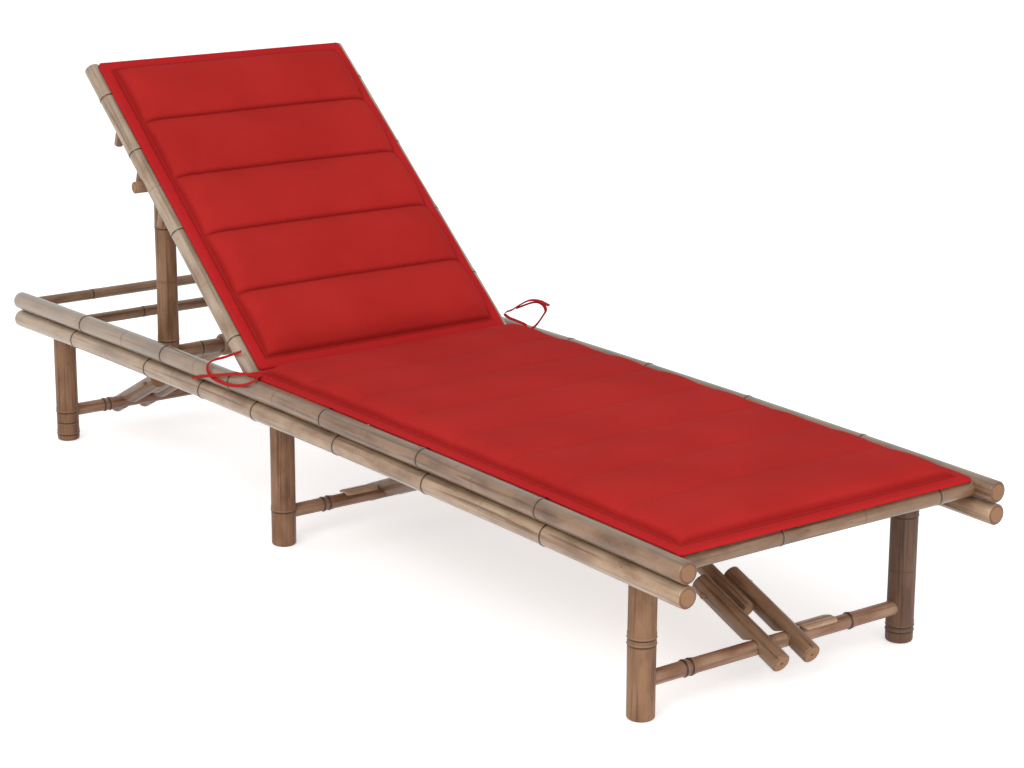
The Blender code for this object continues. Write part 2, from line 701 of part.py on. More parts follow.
def slat_mesh(x, places):
    """A strip of split bamboo through places along Y: flat below, slightly crowned above."""
    half = SLAT_WIDTH / 2
    edge = SLAT_THICKNESS - SLAT_CROWN
    section = ((-half, 0.0), (-half, edge), (0.0, SLAT_THICKNESS), (half, edge), (half, 0.0))
    count = len(section)
    verts = [(x + across, y, z + level) for y, z in places for across, level in section]
    faces = [tuple(range(count))]
    for ring in range(len(places) - 1):
        for step in range(count):
            a, b = ring * count + step, ring * count + (step + 1) % count
            faces.append((a, a + count, b + count, b))
    last = (len(places) - 1) * count
    faces.append(tuple(last + step for step in reversed(range(count))))
    return verts, faces


def slat_places(count, reach):
    """X of each slat's middle, evenly spaced from one side to the other."""
    return [reach * (2 * index / (count - 1) - 1) for index in range(count)]


def make_decks(back_axis):
    """Lengthwise slats let into their crossbars: one deck for the seat and one for the back."""
    rail_end = RAIL_SPREAD - RAIL_RADIUS + TENON_DEPTH
    bars = []
    for place in SEAT_BAR_PLACES.values():
        y, z = from_foot(place), upper_height(place) - SEAT_BAR_DROP
        bars.append(culm_mesh((-rail_end, y, z), (rail_end, y, z), SEAT_BAR_RADIUS, 16, chamfer=0))
    seat = group_meshes("seat_slat_deck", bars, GREY_CANE)
    level = SEAT_BAR_RADIUS - SEAT_BAR_DROP - SLAT_SEAT
    places = []
    end = SEAT_BAR_PLACES["head"] + SEAT_SLAT_OVERHANG
    for step in range(SLAT_SPANS + 1):
        place = SEAT_SLAT_START + (end - SEAT_SLAT_START) * step / SLAT_SPANS
        places.append((from_foot(place), upper_height(place) + level))
    reach = RAIL_SPREAD - RAIL_RADIUS - SEAT_SLAT_SIDE_GAP - SLAT_WIDTH / 2
    join(seat, *[tool_body(*slat_mesh(x, places)) for x in slat_places(SEAT_SLATS, reach)])

    pole_end = BACK_SPREAD - BACK_POLE_RADIUS + BACK_TENON_DEPTH
    bars = []
    for place in BACK_BAR_PLACES.values():
        bars.append(culm_mesh(
            (-pole_end, place, BACK_BAR_RISE), (pole_end, place, BACK_BAR_RISE), BACK_BAR_RADIUS, 16, chamfer=0,
        ))
    back = group_meshes("back_slat_deck", bars, GREY_CANE)
    level = BACK_BAR_RADIUS + BACK_BAR_RISE - SLAT_SEAT
    ends = [(BACK_SLAT_START, level), (BACK_END - BACK_SLAT_SHORT, level)]
    reach = BACK_SPREAD - BACK_POLE_RADIUS - BACK_SLAT_SIDE_GAP - SLAT_WIDTH / 2
    join(back, *[tool_body(*slat_mesh(x, ends)) for x in slat_places(BACK_SLATS, reach)])
    back.parent = back_axis


def cushion_mesh(half_width, start, end, channels, crown, seam_share, point_at):
    """A closed quilted pad: a thin sewn border, and inside it a puffed panel between each pair of channels.

    Its top height is the border's thickness plus the crown times an edge swell, which falls to
    nothing at the border, and a panel swell, a half sine between channels that keeps a share at the seams.
    """
    across_steps, panel_steps = 10, 4
    along_steps = channels * panel_steps
    length = end - start
    grid = []
    for row in range(along_steps + 1):
        along = row / along_steps
        draw = SIDE_DRAW * math.sin(math.pi * along) ** 0.5 if 0 < row < along_steps else 0.0
        width = half_width - draw
        panel = abs(math.sin(math.pi * channels * along))
        swell_along = seam_share + (1 - seam_share) * panel ** 0.6
        to_end = min(along, 1 - along) * length
        end_swell = min(1.0, to_end / (2 * SEWN_BORDER)) ** 0.5
        line = []
        for column in range(across_steps + 1):
            turn = math.sin(math.pi * (column / across_steps - 0.5))
            x = turn * width
            to_side = max(0.0, width - abs(x) - SEWN_BORDER)
            side_swell = min(1.0, to_side / (2.5 * SEWN_BORDER)) ** 0.5
            top = CUSHION_MARGIN + crown * swell_along * end_swell * side_swell
            line.append((x, start + along * length, top))
        grid.append(line)
    verts, faces = [], []
    for line in grid:
        for x, place, top in line:
            verts.append(point_at(x, place, top))
    wide, tall = across_steps + 1, along_steps + 1
    for row in range(tall - 1):
        for column in range(wide - 1):
            a = row * wide + column
            faces.append((a, a + 1, a + wide + 1, a + wide))
    rim = list(range(wide)) + [row * wide + wide - 1 for row in range(1, tall)]
    rim += [(tall - 1) * wide + column for column in reversed(range(wide - 1))]
    rim += [row * wide for row in reversed(range(1, tall - 1))]
    below = {}
    for a in rim:
        x, place, _top = grid[a // wide][a % wide]
        below[a] = len(verts)
        verts.append(point_at(x, place, 0.0))
    for index, a in enumerate(rim):
        b = rim[(index + 1) % len(rim)]
        faces.append((a, below[a], below[b], b))
    for row in range(tall - 1):
        near = [a for a in range(row * wide, (row + 1) * wide) if a in below]
        far = [a for a in range((row + 1) * wide, (row + 2) * wide) if a in below]
        faces.append(tuple(below[a] for a in far + near[::-1]))
    return verts, faces


def make_cushions(back_axis):
    """The seat part lies on its slats between the rails, the back part over the back poles."""
    seat_base = SEAT_BAR_RADIUS - SEAT_BAR_DROP - SLAT_SEAT + SLAT_THICKNESS + SEAT_GAP

    def on_seat(x, place, height):
        return Vector((x, from_foot(place), upper_height(place) + seat_base + height))

    seat_half = RAIL_SPREAD - RAIL_RADIUS + SEAT_CUSHION_LAP
    seat_end = SEAT_BAR_PLACES["head"] + SEAT_SLAT_OVERHANG + CUSHION_OVERHANG
    seat = piece_from("seat_cushion", *cushion_mesh(
        seat_half, SEAT_CUSHION_START, seat_end, SEAT_CHANNELS, SEAT_CROWN, SEAT_SEAM_SHARE, on_seat,
    ), CANVAS_RED, 0.9)
    face_outward(seat)

    back_base = BACK_BAR_RADIUS + BACK_BAR_RISE - SLAT_SEAT + SLAT_THICKNESS + SEAT_GAP

    def on_back(x, place, height):
        return Vector((x, place, back_base + height))

    back_half = BACK_SPREAD - BACK_CUSHION_LAP
    back_end = BACK_END - BACK_SLAT_SHORT + CUSHION_OVERHANG
    back = piece_from("back_cushion", *cushion_mesh(
        back_half, BACK_CUSHION_START, back_end, BACK_CHANNELS, BACK_CROWN, BACK_SEAM_SHARE, on_back,
    ), CANVAS_RED, 0.9)
    face_outward(back)
    back.parent = back_axis


def smooth_route(points):
    """Points on a Catmull-Rom curve through a route, about one step apart."""
    points = [Vector(point) for point in points]
    padded = [2 * points[0] - points[1], *points, 2 * points[-1] - points[-2]]
    smooth = []
    for index in range(1, len(padded) - 2):
        before, here, after, beyond = padded[index - 1:index + 3]
        steps = max(1, round((after - here).length / TIE_STEP))
        for step in range(steps):
            t = step / steps
            smooth.append(0.5 * (
                2 * here + (after - before) * t + (2 * before - 5 * here + 4 * after - beyond) * t ** 2
                + (3 * here - before - 3 * after + beyond) * t ** 3
            ))
    smooth.append(points[-1])
    return smooth


def make_ties():
    """Narrow ribbons sewn to the cushion at the hinge, loosely tied: a tail and a loop a side."""
    for name, route in TIE_ROUTES.items():
        points = smooth_route([(x, from_foot(HINGE_PLACE + beyond), z) for x, beyond, z in route])
        curve = bpy.data.curves.new(name, "CURVE")
        curve.dimensions = "3D"
        curve.bevel_depth = TIE_RADIUS
        curve.bevel_resolution = 1
        curve.use_fill_caps = True
        spline = curve.splines.new("POLY")
        spline.points.add(len(points) - 1)
        for place, point in zip(spline.points, points):
            place.co = (*point, 1.0)
        curve.materials.append(finish(name, CANVAS_RED, 0.9))
        tie = bpy.data.objects.new(name, curve)
        bpy.context.collection.objects.link(tie)


def clear_scene():
    for thing in list(bpy.data.objects):
        bpy.data.objects.remove(thing, do_unlink=True)


def report_couplings():
    """Print the joint values that follow from the sizes."""
    for where in LEG_PLACES:
        along, rise = brace_geometry(where)
        place = BRACE_BAR_PLACES[where]
        ratio = (rise - BRACE_FOLDED_RISE) / LEG_FOLD
        print(where, "leg axis", from_foot(LEG_PLACES[where]), lower_height(LEG_PLACES[where]),
              "brace axis", from_foot(place), lower_height(place), "rise", math.degrees(rise), "ratio", ratio)
    print("back axis", from_foot(HINGE_PLACE), upper_height(HINGE_PLACE))


clear_scene()
make_rails()
make_crossbars()
make_hinge_pins()
for pair in LEG_PLACES:
    make_leg_pair(pair)
    make_brace(pair)
back_frame_axis = make_back()
make_posts()
make_decks(back_frame_axis)
make_cushions(back_frame_axis)
make_ties()
report_couplings()
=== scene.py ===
"""Bamboo sun lounger with a propped back, folding legs and a channelled red cushion."""

import math

import bpy
import numpy as np
from mathutils import Matrix


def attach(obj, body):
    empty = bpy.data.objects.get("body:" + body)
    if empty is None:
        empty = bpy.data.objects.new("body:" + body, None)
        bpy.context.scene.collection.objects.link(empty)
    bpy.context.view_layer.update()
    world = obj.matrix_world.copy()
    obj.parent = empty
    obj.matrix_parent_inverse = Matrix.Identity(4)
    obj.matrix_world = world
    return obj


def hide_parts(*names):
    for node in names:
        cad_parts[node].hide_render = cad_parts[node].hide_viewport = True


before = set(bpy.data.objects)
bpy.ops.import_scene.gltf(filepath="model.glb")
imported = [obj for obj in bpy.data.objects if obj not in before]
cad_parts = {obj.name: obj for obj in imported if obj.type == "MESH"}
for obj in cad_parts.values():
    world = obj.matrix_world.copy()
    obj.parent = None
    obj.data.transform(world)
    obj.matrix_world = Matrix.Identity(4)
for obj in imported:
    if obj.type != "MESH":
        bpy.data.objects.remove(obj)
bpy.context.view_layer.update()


# Camera. It stands to the left of the foot end, a little above the back's top,
# and looks along the lounger with a long lens.
focal_pixels = 2482.35
photo_width = 1024
yaw, pitch, roll = 0.6495, 0.2642, 0.0052
eye = (-2.4203, -3.3854, 1.3946)
look = np.array([math.sin(yaw) * math.cos(pitch), math.cos(yaw) * math.cos(pitch), -math.sin(pitch)])
level_right = np.array([math.cos(yaw), -math.sin(yaw), 0.0])
level_up = np.cross(level_right, look)
right = math.cos(roll) * level_right + math.sin(roll) * level_up
up = -math.sin(roll) * level_right + math.cos(roll) * level_up


def stand_at(thing, across, upward, back, place):
    """Puts a camera or lamp at a place, turned to its own three axes. It looks away from its back axis."""
    columns = np.array([across, upward, back, place]).T
    thing.matrix_world = Matrix([*columns.tolist(), (0, 0, 0, 1)])


camera_data = bpy.data.cameras.new("camera")
camera_data.sensor_width = 36.0
camera_data.lens = focal_pixels / photo_width * camera_data.sensor_width
camera = bpy.data.objects.new("camera", camera_data)
bpy.context.scene.collection.objects.link(camera)
stand_at(camera, right, up, -look, eye)
bpy.context.scene.camera = camera
bpy.context.scene.view_settings.view_transform = "Standard"


# Ribbon ties. Narrow woven ribbons sewn to the cushion's edges beside the hinge,
# left untied: on each side one strand runs out to a free end and one makes a loop.
ribbon_width = 0.0062
ribbon_thickness = 0.0014
ribbon_columns = 12
stitch_length = 0.0042
tie_routes = {
    "tie_left_tail": [
        (-0.2895, 0.140, 0.2997), (-0.2960, 0.140, 0.3004), (-0.3035, 0.146, 0.3022), (-0.3130, 0.160, 0.3012),
        (-0.3225, 0.185, 0.2965), (-0.3310, 0.216, 0.2895), (-0.3332, 0.236, 0.2845), (-0.3325, 0.256, 0.2790),
        (-0.3270, 0.294, 0.2685),
    ],
    "tie_left_loop": [
        (-0.2893, 0.124, 0.2995), (-0.2960, 0.121, 0.3004), (-0.3065, 0.112, 0.3025), (-0.3195, 0.109, 0.2985),
        (-0.3268, 0.130, 0.2895), (-0.3285, 0.163, 0.2830), (-0.3285, 0.196, 0.2815), (-0.3280, 0.227, 0.2840),
        (-0.3250, 0.247, 0.2930), (-0.3180, 0.254, 0.3010), (-0.3060, 0.252, 0.3060), (-0.2960, 0.240, 0.3110),
        (-0.2890, 0.222, 0.3190), (-0.2860, 0.197, 0.3290),
    ],
    "tie_right_tail": [
        (0.2902, 0.148, 0.2997), (0.2945, 0.148, 0.3001), (0.2975, 0.157, 0.3018), (0.2980, 0.184, 0.3035),
        (0.2975, 0.204, 0.3048), (0.2960, 0.214, 0.3095), (0.2945, 0.207, 0.3160), (0.2940, 0.190, 0.3230),
        (0.2935, 0.167, 0.3363), (0.2930, 0.137, 0.3510), (0.2930, 0.107, 0.3560), (0.2930, 0.077, 0.3530),
    ],
    "tie_right_loop": [
        (0.2893, 0.128, 0.2996), (0.2955, 0.126, 0.3020), (0.3000, 0.120, 0.3100), (0.3020, 0.109, 0.3240),
        (0.3030, 0.100, 0.3380), (0.3030, 0.107, 0.3470), (0.3030, 0.124, 0.3490), (0.3030, 0.146, 0.3430),
        (0.3020, 0.166, 0.3345), (0.3000, 0.184, 0.3265),
    ],
}


def linear(red, green, blue):
    """A colour given as 0 to 255 screen values, as the linear values that shaders take."""
    screen = np.array([red, green, blue]) / 255
    light = np.where(screen <= 0.04045, screen / 12.92, ((screen + 0.055) / 1.055) ** 2.4)
    return (*light.tolist(), 1.0)


def add_node(tree, kind, settings=None, **inputs):
    """A shader node with its settings, and its inputs set to values or linked from sockets.

    An input is given by its name, or by an i and its number.
    """
    shader_node = tree.nodes.new(kind)
    for key, value in (settings or {}).items():
        setattr(shader_node, key, value)
    for key, value in inputs.items():
        socket = shader_node.inputs[int(key[1:]) if key[1:].isdigit() else key]
        if isinstance(value, bpy.types.NodeSocket):
            tree.links.new(value, socket)
        else:
            socket.default_value = value
    return shader_node


def number(tree, operation, first, second=0.0, clamp=False):
    """One sum, product or other operation on two numbers."""
    settings = {"operation": operation, "use_clamp": clamp}
    return add_node(tree, "ShaderNodeMath", settings, i0=first, i1=second).outputs[0]


def blend_colour(tree, share, under, over):
    """One colour laid over another by a share from 0 to 1. Each is a socket, or 0 to 255 screen values."""
    under, over = (linear(*each) if isinstance(each, tuple) else each for each in (under, over))
    return add_node(tree, "ShaderNodeMix", {"data_type": "RGBA"}, i0=share, i6=under, i7=over).outputs[2]


def ramp(tree, value, low, high, most=1.0):
    """A smooth rise from 0 at low to its most at high."""
    return add_node(
        tree, "ShaderNodeMapRange", {"interpolation_type": "SMOOTHSTEP"}, i0=value, i1=low, i2=high, i4=most,
    ).outputs[0]


def noise(tree, place, scale, detail):
    """Smooth random patches from 0 to 1, each about one unit of the scaled coordinates across."""
    return add_node(tree, "ShaderNodeTexNoise", Vector=place, Scale=scale, Detail=detail).outputs[0]


def uv_pair(tree, title):
    """The two numbers that one of a piece's UV maps holds."""
    uv_map = add_node(tree, "ShaderNodeUVMap", {"uv_map": title}).outputs[0]
    return add_node(tree, "ShaderNodeSeparateXYZ", i0=uv_map).outputs[:2]


def new_material(name):
    """A new material, its node tree and the inputs of its shader."""
    material = bpy.data.materials.new(name)
    material.use_nodes = True
    return material, material.node_tree, material.node_tree.nodes["Principled BSDF"].inputs


def canvas_material(name, thread, sewn=False):
    """Red plain-weave cotton: two crossed sets of threads in the piece's own UV, given in metres.

    A sewn piece has a second UV map with the distance from the nearest seam, less than nothing on the
    border, and the run along it, for the stitches, the painted shade along the groove and the channels,
    and the brighter border.
    """
    material, tree, surface = new_material(name)
    place = add_node(tree, "ShaderNodeUVMap", {"uv_map": "cloth"}).outputs[0]
    turns = 2 * math.pi / thread
    split = add_node(tree, "ShaderNodeSeparateXYZ", i0=place)
    warp = number(tree, "SINE", number(tree, "MULTIPLY", split.outputs[0], turns))
    weft = number(tree, "SINE", number(tree, "MULTIPLY", split.outputs[1], turns))
    weave = number(tree, "MULTIPLY", warp, weft)
    spots = add_node(tree, "ShaderNodeTexCoord").outputs["Object"]
    slub = noise(tree, place, 260.0, 2.0)
    shade = noise(tree, spots, 5.0, 3.0)
    colour = blend_colour(tree, ramp(tree, shade, 0.3, 0.7), (166, 36, 33), (177, 41, 38))
    colour = blend_colour(tree, ramp(tree, slub, 0.45, 0.75, most=0.18), colour, (152, 22, 22))
    colour = blend_colour(tree, ramp(tree, weave, 0.0, 1.0, most=0.10), colour, (206, 48, 44))
    relief = number(tree, "ADD", number(tree, "MULTIPLY", weave, 0.6), number(tree, "MULTIPLY", slub, 0.5))
    if sewn:
        from_seam, run = uv_pair(tree, "seam")
        colour = blend_colour(tree, ramp(tree, from_seam, -0.0010, -0.0030, most=0.55), colour, (186, 32, 37))
        # Painted shade: the cloth is painted darker along the border's groove and along each channel.
        aside = number(tree, "ABSOLUTE", from_seam)
        colour = blend_colour(tree, ramp(tree, aside, 0.0080, 0.0004, most=0.42), colour, (122, 16, 18))
        beat = number(tree, "SINE", number(tree, "MULTIPLY", run, 2 * math.pi / stitch_length))
        stitch = number(tree, "MULTIPLY", ramp(tree, aside, 0.0009, 0.0004), ramp(tree, beat, -0.5, 0.0))
        colour = blend_colour(tree, number(tree, "MULTIPLY", stitch, 0.30), colour, (190, 60, 54))
        relief = number(tree, "ADD", relief, number(tree, "MULTIPLY", stitch, 1.5))
    tree.links.new(colour, surface["Base Color"])
    surface["Roughness"].default_value = 0.95
    surface["Specular IOR Level"].default_value = 0.08
    bump = add_node(tree, "ShaderNodeBump", Strength=0.35, Distance=0.00025, Height=relief)
    tree.links.new(bump.outputs[0], surface["Normal"])
    return material


def smooth_route(points, spacing=0.004):
    """Points on a Catmull-Rom curve through a route, about one spacing apart."""
    points = np.array(points)
    padded = np.vstack([2 * points[0] - points[1], points, 2 * points[-1] - points[-2]])
    curve = []
    for before, here, after, beyond in zip(padded, padded[1:], padded[2:], padded[3:]):
        steps = max(1, round(np.linalg.norm(after - here) / spacing))
        t = (np.arange(steps) / steps)[:, None]
        curve.append(0.5 * (
            2 * here + (after - before) * t + (2 * before - 5 * here + 4 * after - beyond) * t ** 2
            + (3 * here - before - 3 * after + beyond) * t ** 3
        ))
    return np.vstack(curve + [points[-1:]])


def course(line):
    """The direction at each point of a line, and the distance travelled to it."""
    ahead = np.gradient(line, axis=0)
    ahead /= np.linalg.norm(ahead, axis=1, keepdims=True)
    steps = np.linalg.norm(np.diff(line, axis=0), axis=1)
    return ahead, np.concatenate([[0], np.cumsum(steps)])


def paired(first, second):
    """Two arrays spread over one grid, as the pairs of a UV map."""
    return np.stack(np.broadcast_arrays(first, second), axis=-1)


def shell(rings, maps, loop=False):
    """A closed surface through rings of points: its points, face corners, face sizes and UV corners.

    Ring i and i+1 are joined by quads, and the first and last rings close to their mean point, or to each
    other in a loop. maps gives each UV map by name, as an array of one pair for each ring and column and one
    column more, and in a loop one ring more.
    """
    count, columns = rings.shape[:2]
    ring, column = np.meshgrid(np.arange(count if loop else count - 1), np.arange(columns), indexing="ij")
    after = (column + 1) % columns
    beyond = (ring + 1) % count
    quads = np.stack([
        ring * columns + column, beyond * columns + column, beyond * columns + after, ring * columns + after,
    ], axis=-1).reshape(-1, 4)
    points = rings.reshape(-1, 3)
    corners = quads.ravel()
    sizes = np.full(len(quads), 4)
    j = np.arange(columns)
    if not loop:
        points = np.vstack([points, rings[0].mean(axis=0), rings[-1].mean(axis=0)])
        low, high, last = count * columns, count * columns + 1, (count - 1) * columns
        first_fan = np.stack([j, (j + 1) % columns, np.full(columns, low)], axis=-1)
        last_fan = np.stack([last + (j + 1) % columns, last + j, np.full(columns, high)], axis=-1)
        corners = np.concatenate([corners, first_fan.ravel(), last_fan.ravel()])
        sizes = np.concatenate([sizes, np.full(2 * columns, 3)])
    wraps = {}
    for title, grid in maps.items():
        wrapped = np.stack([
            grid[ring, column], grid[ring + 1, column], grid[ring + 1, column + 1], grid[ring, column + 1],
        ], axis=2).reshape(-1, 2)
        if not loop:
            tip = [np.tile(grid[end].mean(axis=0), (columns, 1)) for end in (0, -1)]
            fan_a = np.stack([grid[0, j], grid[0, j + 1], tip[0]], axis=1).reshape(-1, 2)
            fan_b = np.stack([grid[-1, j + 1], grid[-1, j], tip[1]], axis=1).reshape(-1, 2)
            wrapped = np.vstack([wrapped, fan_a, fan_b])
        wraps[title] = wrapped
    return points, corners, sizes, wraps


def mesh_of(name, *shells):
    """One mesh of several shells, each with the same UV maps."""
    points = np.vstack([each[0] for each in shells])
    shift = np.cumsum([0] + [len(each[0]) for each in shells[:-1]])
    corners = np.concatenate([each[1] + start for each, start in zip(shells, shift)]).astype(np.int32)
    sizes = np.concatenate([each[2] for each in shells])
    mesh = bpy.data.meshes.new(name)
    mesh.vertices.add(len(points))
    mesh.vertices.foreach_set("co", points.astype(np.float32).ravel())
    mesh.loops.add(len(corners))
    mesh.loops.foreach_set("vertex_index", corners)
    mesh.polygons.add(len(sizes))
    mesh.polygons.foreach_set("loop_start", (np.cumsum(sizes) - sizes).astype(np.int32))
    mesh.update(calc_edges=True)
    mesh.validate()
    for title in shells[0][3]:
        layer = mesh.uv_layers.new(name=title)
        pairs = np.vstack([each[3][title] for each in shells])
        layer.uv.foreach_set("vector", pairs.astype(np.float32).ravel())
    mesh.shade_smooth()
    return mesh


def placed(name, mesh, material, body, slot, *nodes):
    """A finished piece: its mesh with a material, riding on a body in place of its CAD nodes."""
    piece = bpy.data.objects.new(name, mesh)
    bpy.context.scene.collection.objects.link(piece)
    mesh.materials.clear()
    mesh.materials.append(material)
    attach(piece, body)
    if nodes:
        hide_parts(*nodes)
    return piece


ribbon_cloth = canvas_material("red_ribbon", thread=0.0009)
for tie, route in tie_routes.items():
    line = smooth_route(route)
    ahead, travelled = course(line)
    # The left ribbons' broad side lies against the culms, and the right ones' turns up and toward the foot.
    facing_way = (-0.8, 0.0, 0.6) if "left" in tie else (-0.5, -0.3, 0.8)
    across = np.cross(ahead, np.array(facing_way))
    across /= np.linalg.norm(across, axis=1, keepdims=True)
    face = np.cross(across, ahead)
    turn = 2 * math.pi * np.arange(ribbon_columns) / ribbon_columns
    rings = line[:, None] + (
        ribbon_width / 2 * np.cos(turn)[None, :, None] * across[:, None]
        - ribbon_thickness / 2 * np.sin(turn)[None, :, None] * face[:, None]
    )
    girth = np.arange(ribbon_columns + 1) / ribbon_columns * 2 * ribbon_width
    cloth = paired(travelled[:, None], girth)
    ribbon = placed(
        tie.replace("tie", "ribbon"), mesh_of(tie, shell(rings, {"cloth": cloth})), ribbon_cloth, "base",
        "red_canvas", tie,
    )


# Studio. A pale floor under the lounger, a soft lamp high on its left, a weaker one beyond
# its foot end, and an even white surround that the camera sees as plain white.
floor_reach = 30
floor_corners = [(x * floor_reach, y * floor_reach, 0) for x, y in ((-1, -1), (1, -1), (1, 1), (-1, 1))]
floor_mesh = bpy.data.meshes.new("floor")
floor_mesh.from_pydata(floor_corners, [], [(0, 1, 2, 3)])
floor = bpy.data.objects.new("floor", floor_mesh)
bpy.context.scene.collection.objects.link(floor)
floor_paint, floor_tree, floor_surface = new_material("floor_paint")
floor_surface["Base Color"].default_value = (0.86, 0.86, 0.86, 1)
floor_surface["Roughness"].default_value = 0.9
floor_surface["Specular IOR Level"].default_value = 0.1
floor_surface["Emission Color"].default_value = (1, 1, 1, 1)
floor_mesh.materials.append(floor_paint)


def white_to_camera(tree, unseen, seen, socket):
    """One strength for the light that it gives, and another where it is seen, also in gloss or glass."""
    ray = add_node(tree, "ShaderNodeLightPath")
    looking = number(tree, "MAXIMUM", ray.outputs["Is Camera Ray"], ray.outputs["Is Transmission Ray"])
    looking = number(tree, "MAXIMUM", looking, ray.outputs["Is Glossy Ray"])
    share = add_node(tree, "ShaderNodeMix", {"data_type": "FLOAT"}, i0=looking, i2=unseen, i3=seen)
    tree.links.new(share.outputs[0], socket)


white_to_camera(floor_tree, 0.0, 0.54, floor_surface["Emission Strength"])
surround = bpy.data.worlds.new("surround")
bpy.context.scene.world = surround
surround.use_nodes = True
sky = surround.node_tree.nodes["Background"].inputs
sky["Color"].default_value = (1, 1, 1, 1)
white_to_camera(surround.node_tree, 0.72, 1.0, sky["Strength"])

# Each lamp's place, the point it is aimed at, its size and its power in watts.
lamps = {
    "key_lamp": ((-3.4, -1.9, 2.9), (0.0, 0.0, 0.2), 2.4, 78.0),
    "fill_lamp": ((-0.4, -4.4, 1.3), (0.0, -0.2, 0.2), 2.6, 42.0),
}
for name, (stand, aim, size, watts) in lamps.items():
    lamp_data = bpy.data.lights.new(name, "AREA")
    lamp_data.size = size
    lamp_data.energy = watts
    lamp = bpy.data.objects.new(name, lamp_data)
    bpy.context.scene.collection.objects.link(lamp)
    back = (np.array(stand) - np.array(aim)) / np.linalg.norm(np.array(stand) - np.array(aim))
    side = np.cross([0, 0, 1], back)
    side /= np.linalg.norm(side)
    stand_at(lamp, side, np.cross(back, side), back, stand)


# Side rails. Two stacked bamboo culms a side, about 35 mm thick and sprung up in the
# middle, with raised knots and rounded solid ends. They rest on each other at the knots.
rail_length = 2.0
rail_radius = 0.0170
rail_spread = 0.3068
rail_end_height = 0.2701
rail_camber = 0.0115
rail_drop = 0.0355
lower_end_height = rail_end_height - rail_drop
# Farther than this from a knot, the knot map stays the same.
knot_reach = 0.05
rail_knots = {
    "upper_rail_left": (0.322, 0.621, 0.895, 1.182, 1.418, 1.723),
    "upper_rail_right": (0.285, 0.554, 0.810, 1.029, 1.290, 1.620),
    "lower_rail_left": (0.309, 0.606, 0.857, 1.108, 1.285, 1.479, 1.761),
    "lower_rail_right": (0.240, 0.515, 0.760, 1.010, 1.250, 1.500, 1.780),
}


